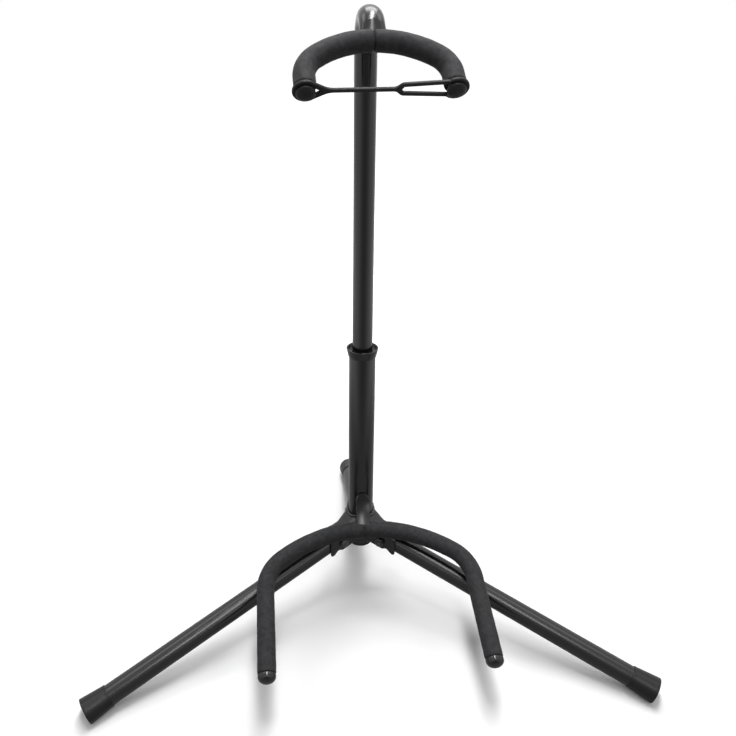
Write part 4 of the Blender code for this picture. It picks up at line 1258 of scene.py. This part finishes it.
@dataclass
class NeckYoke:
    """The neck yoke on the mast's bent end: rod, sleeves, domed caps and strap."""

    tilt: float = 42.0
    turn: float = 1.7
    cap_groove_radius: float = 0.0058
    cap_groove: float = 0.0044
    cap_radius: float = 0.0073
    cap_rim: float = 0.0008
    cap_dome: float = 0.0030
    cap_bore: float = 0.0070
    yoke: Yoke = field(default_factory=lambda: Yoke(
        "neck", half_width=0.0552, corner_radius=0.0253, back_angle=38.0, foam_reach=0.0455, rod_reach=0.0525,
        seam_edge=0.0026, lump_scale=140.0, lump_seed=2.0))

    def plane(self, stance: Stance, mast: MastTube) -> Matrix:
        """The yoke's plane."""
        return (stance.mast @ Matrix.Translation(mast.rod_centre()) @ turn(self.turn, "Z")
                @ turn(self.tilt, "X"))

    def cap(self, side: str, place: Matrix) -> Piece:
        """A domed rubber cap with a groove for the strap."""
        start = self.yoke.foam_reach + GAP
        groove = start + self.cap_groove
        rim = groove + self.cap_rim
        bore = self.yoke.rod_radius + GAP
        dome = dome_points(self.cap_radius, rim, self.cap_dome)
        base = rounded([(self.cap_radius, rim, 0.0), (self.cap_radius, groove, 0.0005),
                        (self.cap_groove_radius, groove, 0.0004), (self.cap_groove_radius, start, 0.0002),
                        (bore, start, 0.0002), (bore, start + self.cap_bore, 0.0), (0.0, start + self.cap_bore, 0.0)])
        shape = turned_along(straight(), dome + base[1:], around=self.yoke.around)
        return shade(as_object(f"neck_cap_{side}_rubber", shape, self.yoke.tip(side, place)))

    def build(self, shop: Workshop, stance: Stance, maker: NodeMaker, mast: MastTube) -> None:
        """Makes the whole yoke."""
        place = self.plane(stance, mast)
        self.yoke.build(shop, maker, place, "mast", partial(mast.end_space, stance), self.cap, SOFT_RUBBER)
        Strap(self).build(shop, place)


@dataclass
class Strap:
    """The rubber strap: an eyelet on the left tip and a long loop on the right one."""

    neck: NeckYoke
    thickness: float = 0.0028
    strand: float = 0.0032
    ring_width: float = 0.0037
    tear: float = 0.0070
    eye_tear: float = 0.0050
    melt: float = 0.0040
    fork: float = 0.0150
    opening: float = 0.0052
    rounding: float = 0.0009
    spread: float = 50.0
    loop_taper: float = 0.6
    merge: float = 0.00001

    def outlines(self) -> list[list[Point]]:
        """The strap's outer line and its two holes."""
        tip = self.neck.yoke.half_width
        hole = self.neck.cap_groove_radius + GAP
        ring = hole + self.ring_width
        strand, half = self.strand / 2, self.opening / 2
        spread = math.radians(self.spread)
        near = ring_arc(-tip, ring, spread, math.tau - spread)
        far = ring_arc(tip, ring, -math.pi + spread, math.pi - spread)
        joins, forks, wides = [[(x, sign * y) for sign in (-1, 1)] for x, y in (
            (-tip + ring + self.tear, strand), (self.fork - half - strand, strand),
            (self.fork, half + self.strand))]
        outer = near + bend_points((near[-1], joins[0], forks[0]), self.melt)
        outer += bend_points((joins[0], forks[0], wides[0]), self.melt / 2)
        outer += bend_points((forks[0], wides[0], far[0]), self.melt / 2) + far
        outer += bend_points((far[-1], wides[1], forks[1]), self.melt / 2)
        outer += bend_points((wides[1], forks[1], joins[1]), self.melt / 2)
        outer += bend_points((forks[1], joins[1], near[0]), self.melt)
        eyelet = ring_arc(-tip, hole, spread, math.tau - spread) + [(-tip + hole + self.eye_tear, 0.0)]
        loop = ring_arc(tip, hole, -math.pi + spread, math.pi - spread)
        taper = self.fork + half * self.loop_taper
        loop += [(taper, half), (self.fork, 0.0), (taper, -half)]
        return [outer, eyelet, loop]

    def build(self, shop: Workshop, plane: Matrix) -> None:
        """Makes the strap, with its edges moulded round."""
        curve = bpy.data.curves.new("strap_outline", "CURVE")
        curve.dimensions = "2D"
        curve.fill_mode = "BOTH"
        curve.extrude = self.thickness / 2 - self.rounding
        curve.bevel_depth = self.rounding
        curve.bevel_resolution = 3
        curve.offset = -self.rounding
        for outline in self.outlines():
            line = curve.splines.new("POLY")
            line.points.add(len(outline) - 1)
            for spot, (x, y) in zip(line.points, outline):
                spot.co = (x, y, 0.0, 1.0)
            line.use_cyclic_u = True
        flat = put("strap_outline", curve)
        mesh = evaluated(flat)
        shape = bmesh.new()
        shape.from_mesh(mesh)
        bpy.data.objects.remove(flat, do_unlink=True)
        bpy.data.meshes.remove(mesh)
        bmesh.ops.remove_doubles(shape, verts=shape.verts, dist=self.merge)
        bmesh.ops.recalc_face_normals(shape, faces=shape.faces)
        neck = self.neck
        level = -(neck.yoke.foam_reach + GAP + neck.cap_groove - self.thickness / 2 - GAP)
        place = plane @ Matrix.Translation((0.0, level, 0.0)) @ turn(90.0, "X")
        piece = shade(as_object("neck_strap_rubber", shape, place))
        shop.hand_over(piece, SOFT_RUBBER, "mast", "neck_strap")


def bend_points(corner: Sequence[Point], reach: float) -> list[Point]:
    """The rounded middle point of three.

    Args:
        corner: The point before the corner, the corner and the point after it.
        reach: How far from the corner the rounding starts.

    Returns:
        The points that stand in for the corner.
    """
    (before, here, after) = corner
    return rounded([(*before, 0.0), (*here, reach), (*after, 0.0)])[1:-1]


def ring_arc(middle: float, radius: float, start: float, end: float) -> list[Point]:
    """Points of an arc about a point of the X axis."""
    count = max(2, math.ceil(abs(end - start) / math.radians(4.0)))
    angles = [start + (end - start) * k / count for k in range(count + 1)]
    return [(middle + radius * math.cos(a), radius * math.sin(a)) for a in angles]


@dataclass
class Cradle:
    """The cradle in front of the lower tube: rod, long sleeves, domed end caps and brace."""

    tilt: float = 21.6
    standoff: float = 0.0153
    height: float = 0.0115
    tube_radius: float = THICK_TUBE
    cap_radius: float = 0.0081
    cap_skirt: float = 0.0020
    cap_dome: float = 0.0058
    cap_bore: float = 0.0045
    lap: float = 0.0018
    heel: float = 0.0015
    brace_half_width: float = 0.0068
    brace_edge: float = 0.0006
    yoke: Yoke = field(default_factory=lambda: Yoke(
        "cradle", half_width=0.1015, corner_radius=0.038, back_angle=36.5, foam_reach=0.1346, rod_reach=0.1391))

    @property
    def centre(self) -> Vector:
        """The middle of the cradle's rod, before the cradle's turn."""
        return Vector((0.0, -(self.tube_radius + self.standoff), self.height))

    def slit(self, stance: Stance) -> Piece:
        """The room behind the sleeves for the brace."""
        low = self.centre.z - self.heel - FIT
        top = self.centre.z + 2 * self.yoke.foam_radius
        back = self.centre.y - self.lap - FIT
        view = [(back, top), (back, low), (0.0, low), (0.0, top)]
        wide = self.brace_half_width + FIT
        return as_object("brace_room", prism(view, "X", -wide, wide), stance.cradle)

    def cap(self, side: str, place: Matrix) -> Piece:
        """The glossy domed cap on a tip of the rod."""
        start = self.yoke.foam_reach + GAP
        bore = self.yoke.rod_radius + GAP
        profile = dome_points(self.cap_radius, start + self.cap_skirt, self.cap_dome)
        profile += rounded([(self.cap_radius, start + self.cap_skirt, 0.0), (self.cap_radius, start, 0.0005),
                            (bore, start, 0.0003), (bore, start + self.cap_bore, 0.0),
                            (0.0, start + self.cap_bore, 0.0)])[1:]
        shape = turned_along(straight(), profile, around=self.yoke.around)
        return shade(as_object(f"cradle_cap_{side}_moulding", shape, self.yoke.tip(side, place)))

    def build(self, shop: Workshop, stance: Stance, maker: NodeMaker) -> None:
        """Makes the whole cradle."""
        place = stance.cradle @ Matrix.Translation(self.centre) @ turn(self.tilt, "X")
        self.yoke.build(shop, maker, place, "base", partial(self.slit, stance), self.cap, MOULDED_PLASTIC)
        shop.dress_copy("cradle_brace", "cradle_brace_coat", SATIN_COAT, "base", self.brace_edge, 3)


@dataclass
class Leg:
    """One leg: bracket, bolt, nut, tube and boot."""

    side: Side
    radius: float = THIN_TUBE
    wall: float = TUBE_WALL
    around: int = 72
    hole_around: int = 32
    spare: float = 0.01
    heel_short: float = 0.0010
    heel_long: float = 0.0100
    boot_length: float = 0.0235
    boot_mouth: float = 0.0103
    boot_end: float = 0.0121
    boot_floor: float = 0.004
    boot_cuff: float = 0.002
    boot_band: float = 0.0015
    bolt_radius: float = 0.0025
    tube_radius: float = THICK_TUBE
    roof_height: float = 0.0150
    roof_slope: float = 0.923
    weld_radius: float = 0.0134
    weld_spread: float = 62.0
    weld_steps: int = 24
    weld_pitch: float = 0.0014
    weld_size: float = 0.0016
    weld_seed: int = 3
    bracket_edge: float = 0.00035
    bolt_edge: float = 0.0002
    nut_edge: float = 0.0003

    def reach(self, stance: Stance) -> float:
        """Distance from the pivot to the boot's end, from the size of the CAD boot."""
        back = stance.leg(self.side).inverted()
        node = frame["nodes"][f"leg_boot_{self.side.word}"]
        return max((back @ v.co).x for v in node.data.vertices)

    def weld(self, stance: Stance, maker: NodeMaker, shop: Workshop) -> None:
        """The weld bead where the bracket's roof meets the lower tube."""
        points = []
        for k in range(self.weld_steps + 1):
            a = math.radians(self.weld_spread) * (2 * k / self.weld_steps - 1)
            reach = self.weld_radius * math.cos(a)
            height = self.roof_height + self.roof_slope * (self.tube_radius - reach)
            points.append(Vector((reach, self.weld_radius * math.sin(a), height)))
        bead = line_object(f"bracket_{self.side.word}_weld", points, stance.arm(self.side))
        maker.run(bead, maker.bead, {"Pitch": self.weld_pitch, "Size": self.weld_size, "Seed": self.weld_seed,
                                     "Material": shop.wardrobe.material(SATIN_COAT)})
        shop.hand_over(shade(bead, BEAD_ANGLE), SATIN_COAT, "base")

    def tube(self, stance: Stance, end: float) -> Piece:
        """The leg's tube, with its slanted heel and the bolt's hole."""
        place = stance.leg(self.side)
        stop = end - self.boot_floor - GAP
        inner = self.radius - self.wall
        start = -self.heel_long - self.spare
        profile = [(self.radius, start), (self.radius, stop), (inner, stop), (inner, start)]
        route = straight((1.0, 0.0, 0.0), (0.0, 0.0, 1.0))
        shape = turned_along(route, profile, closed=True, around=self.around)
        made = as_object(f"leg_tube_{self.side.word}_coat", shape, place)
        mid = (self.heel_long + self.heel_short) / 2
        rise = (self.heel_long - self.heel_short) / (2 * self.radius)
        wide = 2 * self.radius
        far = start - self.spare
        view = [(-mid + rise * wide, wide), (-mid - rise * wide, -wide), (far, -wide), (far, wide)]
        heel = as_object("heel_space", prism(view, "Y", -wide, wide), place)
        bore = self.bolt_radius + GAP
        shape = turned_along(straight((0.0, 1.0, 0.0), (0.0, 0.0, 1.0)),
                             [(0.0, -wide), (bore, -wide), (bore, wide), (0.0, wide)], around=self.hole_around)
        hole = as_object("bolt_space", shape, place)
        return shade(carved(made, heel, hole))

    def boot(self, stance: Stance, end: float) -> Piece:
        """The rubber boot, flared to a flat end that bears on the floor."""
        mouth = end - self.boot_length
        bore = self.radius + FIT
        floor = end - self.boot_floor
        profile = rounded([
            (0.0, end, 0.0), (self.boot_end, end, 0.0005), (self.boot_end, end - self.boot_band, 0.001),
            (self.boot_mouth, mouth + self.boot_cuff, 0.003), (self.boot_mouth, mouth, 0.0004),
            (bore, mouth, 0.0002), (bore, floor, 0.0), (0.0, floor, 0.0)])
        route = straight((1.0, 0.0, 0.0), (0.0, 0.0, 1.0))
        made = as_object(f"boot_{self.side.word}_rubber", turned_along(route, profile), stance.leg(self.side))
        shape = bmesh.new()
        bmesh.ops.create_cube(shape, size=1.0)
        below = Matrix.Translation((0.0, 0.0, -0.5)) @ Matrix.Diagonal((2.0, 2.0, 1.0, 1.0))
        return shade(carved(made, as_object("ground_space", shape, below)))

    def build(self, shop: Workshop, stance: Stance, maker: NodeMaker) -> None:
        """Makes the whole leg."""
        word = self.side.word
        body = f"{word}_leg"
        end = self.reach(stance)
        shop.dress_copy(f"leg_bracket_{word}", f"bracket_{word}_coat", SATIN_COAT, "base", self.bracket_edge)
        self.weld(stance, maker, shop)
        shop.dress_copy(f"pivot_bolt_{word}", f"bolt_{word}_plate", BLACK_ZINC, "base", self.bolt_edge)
        shop.dress_copy(f"pivot_nut_{word}", f"nut_{word}_plate", BLACK_ZINC, "base", self.nut_edge)
        shop.hand_over(self.tube(stance, end), SATIN_COAT, body, f"leg_{word}")
        shop.hand_over(self.boot(stance, end), TIP_RUBBER, body, f"leg_boot_{word}")


# Studio


@dataclass(frozen=True)
class Lamp:
    """A soft area lamp: its place, width and height, power in watts and the point that it faces."""

    name: str
    place: Corner
    size: Point
    power: float
    target: Corner = (0.0, 0.0, 0.25)

    def build(self) -> None:
        """Adds the lamp to the scene."""
        light = bpy.data.lights.new(self.name, "AREA")
        light.shape = "RECTANGLE"
        light.size, light.size_y = self.size
        light.energy = self.power
        made = put(self.name, light)
        made.location = self.place
        made.rotation_euler = (Vector(self.target) - Vector(self.place)).to_track_quat("-Z", "Y").to_euler()


HOOK = (0.0, 0.0, 0.57)
FEET = (0.0, 0.0, 0.05)
LAMPS = (
    Lamp("left_softbox", (-0.95, 0.40, 1.60), (1.0, 0.5), 3.2),
    Lamp("right_softbox", (0.95, 0.35, 1.65), (1.0, 0.5), 2.5),
    Lamp("top_softbox", (0.06, 0.16, 1.75), (0.28, 0.9), 17.5),
    Lamp("back_softbox", (0.1, 0.9, 1.60), (0.9, 0.5), 8.5),
    Lamp("hook_strip", (0.05, -0.62, 1.50), (0.2, 1.2), 6.0, HOOK),
    Lamp("front_left_strip", (-0.75, -1.35, 1.00), (0.6, 0.16), 0.75, FEET),
    Lamp("front_right_strip", (0.75, -1.35, 1.00), (0.6, 0.16), 1.0, FEET),
)


@dataclass
class Studio:
    """Floor, soft lights, world and camera."""

    camera_place: Corner = (-0.05572, -0.55658, 0.61675)
    camera_turn: Corner = (61.4582, 0.4503, -1.9413)
    lens: float = 34.239
    shift: Point = (0.06268, -0.05664)
    floor_half: Point = (1.6, 1.8)
    floor_front: float = 0.40
    floor_drop: float = 0.00002
    floor_colour: float = 0.96
    floor_roughness: float = 0.9
    floor_specular: float = 0.1
    bounce_colour: float = 0.34
    near_glow: float = 0.07
    glow_span: Point = (0.34, 0.90)
    sky_fill: float = 0.07
    sky_front: float = 0.28
    front_reach: float = 0.55

    def shown(self, wires: Wiring) -> Socket:
        """One for camera, glossy and transmission rays, and nothing for others."""
        light = wires.add("ShaderNodeLightPath")
        gloss = wires.maths("ADD", light.outputs["Is Glossy Ray"], light.outputs["Is Transmission Ray"])
        return wires.maths("ADD", light.outputs["Is Camera Ray"], gloss, clamp=True)

    def floor(self) -> None:
        """A plain pale floor that shows white away from the stand and keeps the stand's shadow."""
        shape = bmesh.new()
        bmesh.ops.create_grid(shape, x_segments=4, y_segments=4, size=1.0)
        middle = self.floor_half[1] - self.floor_front
        place = (Matrix.Translation((0.0, middle, -self.floor_drop))
                 @ Matrix.Diagonal((self.floor_half[0], self.floor_half[1], 1.0, 1.0)))
        made = as_object("studio_floor", shape, place)
        material = bpy.data.materials.new("pale_floor")
        material.use_nodes = True
        wires = Wiring(material.node_tree)
        shader = material.node_tree.nodes["Principled BSDF"]
        shader.inputs["Roughness"].default_value = self.floor_roughness
        shader.inputs["Specular IOR Level"].default_value = self.floor_specular
        shader.inputs["Emission Color"].default_value = (1.0, 1.0, 1.0, 1.0)
        light = wires.add("ShaderNodeLightPath")
        seen = (self.floor_colour,) * 3 + (1.0,)
        bounced = (self.bounce_colour,) * 3 + (1.0,)
        wires.join(wires.mix_colour(light.outputs["Is Camera Ray"], bounced, seen), shader.inputs["Base Color"])
        place = wires.add("ShaderNodeTexCoord").outputs["Object"]
        away = wires.add("ShaderNodeVectorMath", {0: place}, operation="LENGTH").outputs["Value"]
        glow = wires.between(away, self.glow_span, (self.near_glow, 1.0))
        wires.join(wires.maths("MULTIPLY", self.shown(wires), glow), shader.inputs["Emission Strength"])
        made.data.materials.append(material)

    def world(self) -> None:
        """A soft world: white behind the stand, with a darker studio in front of it."""
        world = bpy.data.worlds.new("studio_world")
        world.use_nodes = True
        bpy.context.scene.world = world
        wires = Wiring(world.node_tree)
        sky = world.node_tree.nodes["Background"]
        sky.inputs["Color"].default_value = (1.0, 1.0, 1.0, 1.0)
        light = wires.add("ShaderNodeLightPath")
        way = wires.add("ShaderNodeTexCoord").outputs["Generated"]
        parts = wires.add("ShaderNodeSeparateXYZ", {0: way})
        backdrop = wires.between(parts.outputs["Y"], (-1.0, -self.front_reach), (self.sky_front, 1.0))
        reflected = wires.maths("MULTIPLY", self.shown(wires), backdrop)
        known = wires.maths("MAXIMUM", reflected, light.outputs["Is Camera Ray"])
        wires.join(wires.maths("MAXIMUM", known, self.sky_fill), sky.inputs["Strength"])

    def camera(self) -> None:
        """The camera at the photograph's angle."""
        data = bpy.data.cameras.new("photo_camera")
        data.sensor_width = 36.0
        data.lens = self.lens
        data.shift_x, data.shift_y = self.shift
        data.clip_start, data.clip_end = 0.01, 100.0
        made = put("photo_camera", data)
        made.location = self.camera_place
        made.rotation_euler = tuple(math.radians(a) for a in self.camera_turn)
        bpy.context.scene.camera = made

    def build(self) -> None:
        """Sets up the whole studio."""
        bpy.context.scene.view_settings.view_transform = "Standard"
        self.camera()
        self.world()
        self.floor()
        for lamp in LAMPS:
            lamp.build()


def main() -> None:
    """Builds the studio and the dressed stand."""
    Studio().build()
    shop = Workshop(Wardrobe())
    maker = NodeMaker()
    stance = Stance()
    mast = MastTube()
    LowerTube().build(shop, stance)
    Clamp().build(shop, stance)
    mast.build(shop, stance)
    NeckYoke().build(shop, stance, maker, mast)
    Cradle().build(shop, stance, maker)
    for side in Side:
        Leg(side).build(shop, stance, maker)
    left = sorted(set(frame["nodes"]) - shop.used)
    LOG.info("CAD nodes without a finish: %s", left)


if __name__ == "__main__":
    logging.basicConfig(level=logging.INFO, format="%(message)s")
    main()
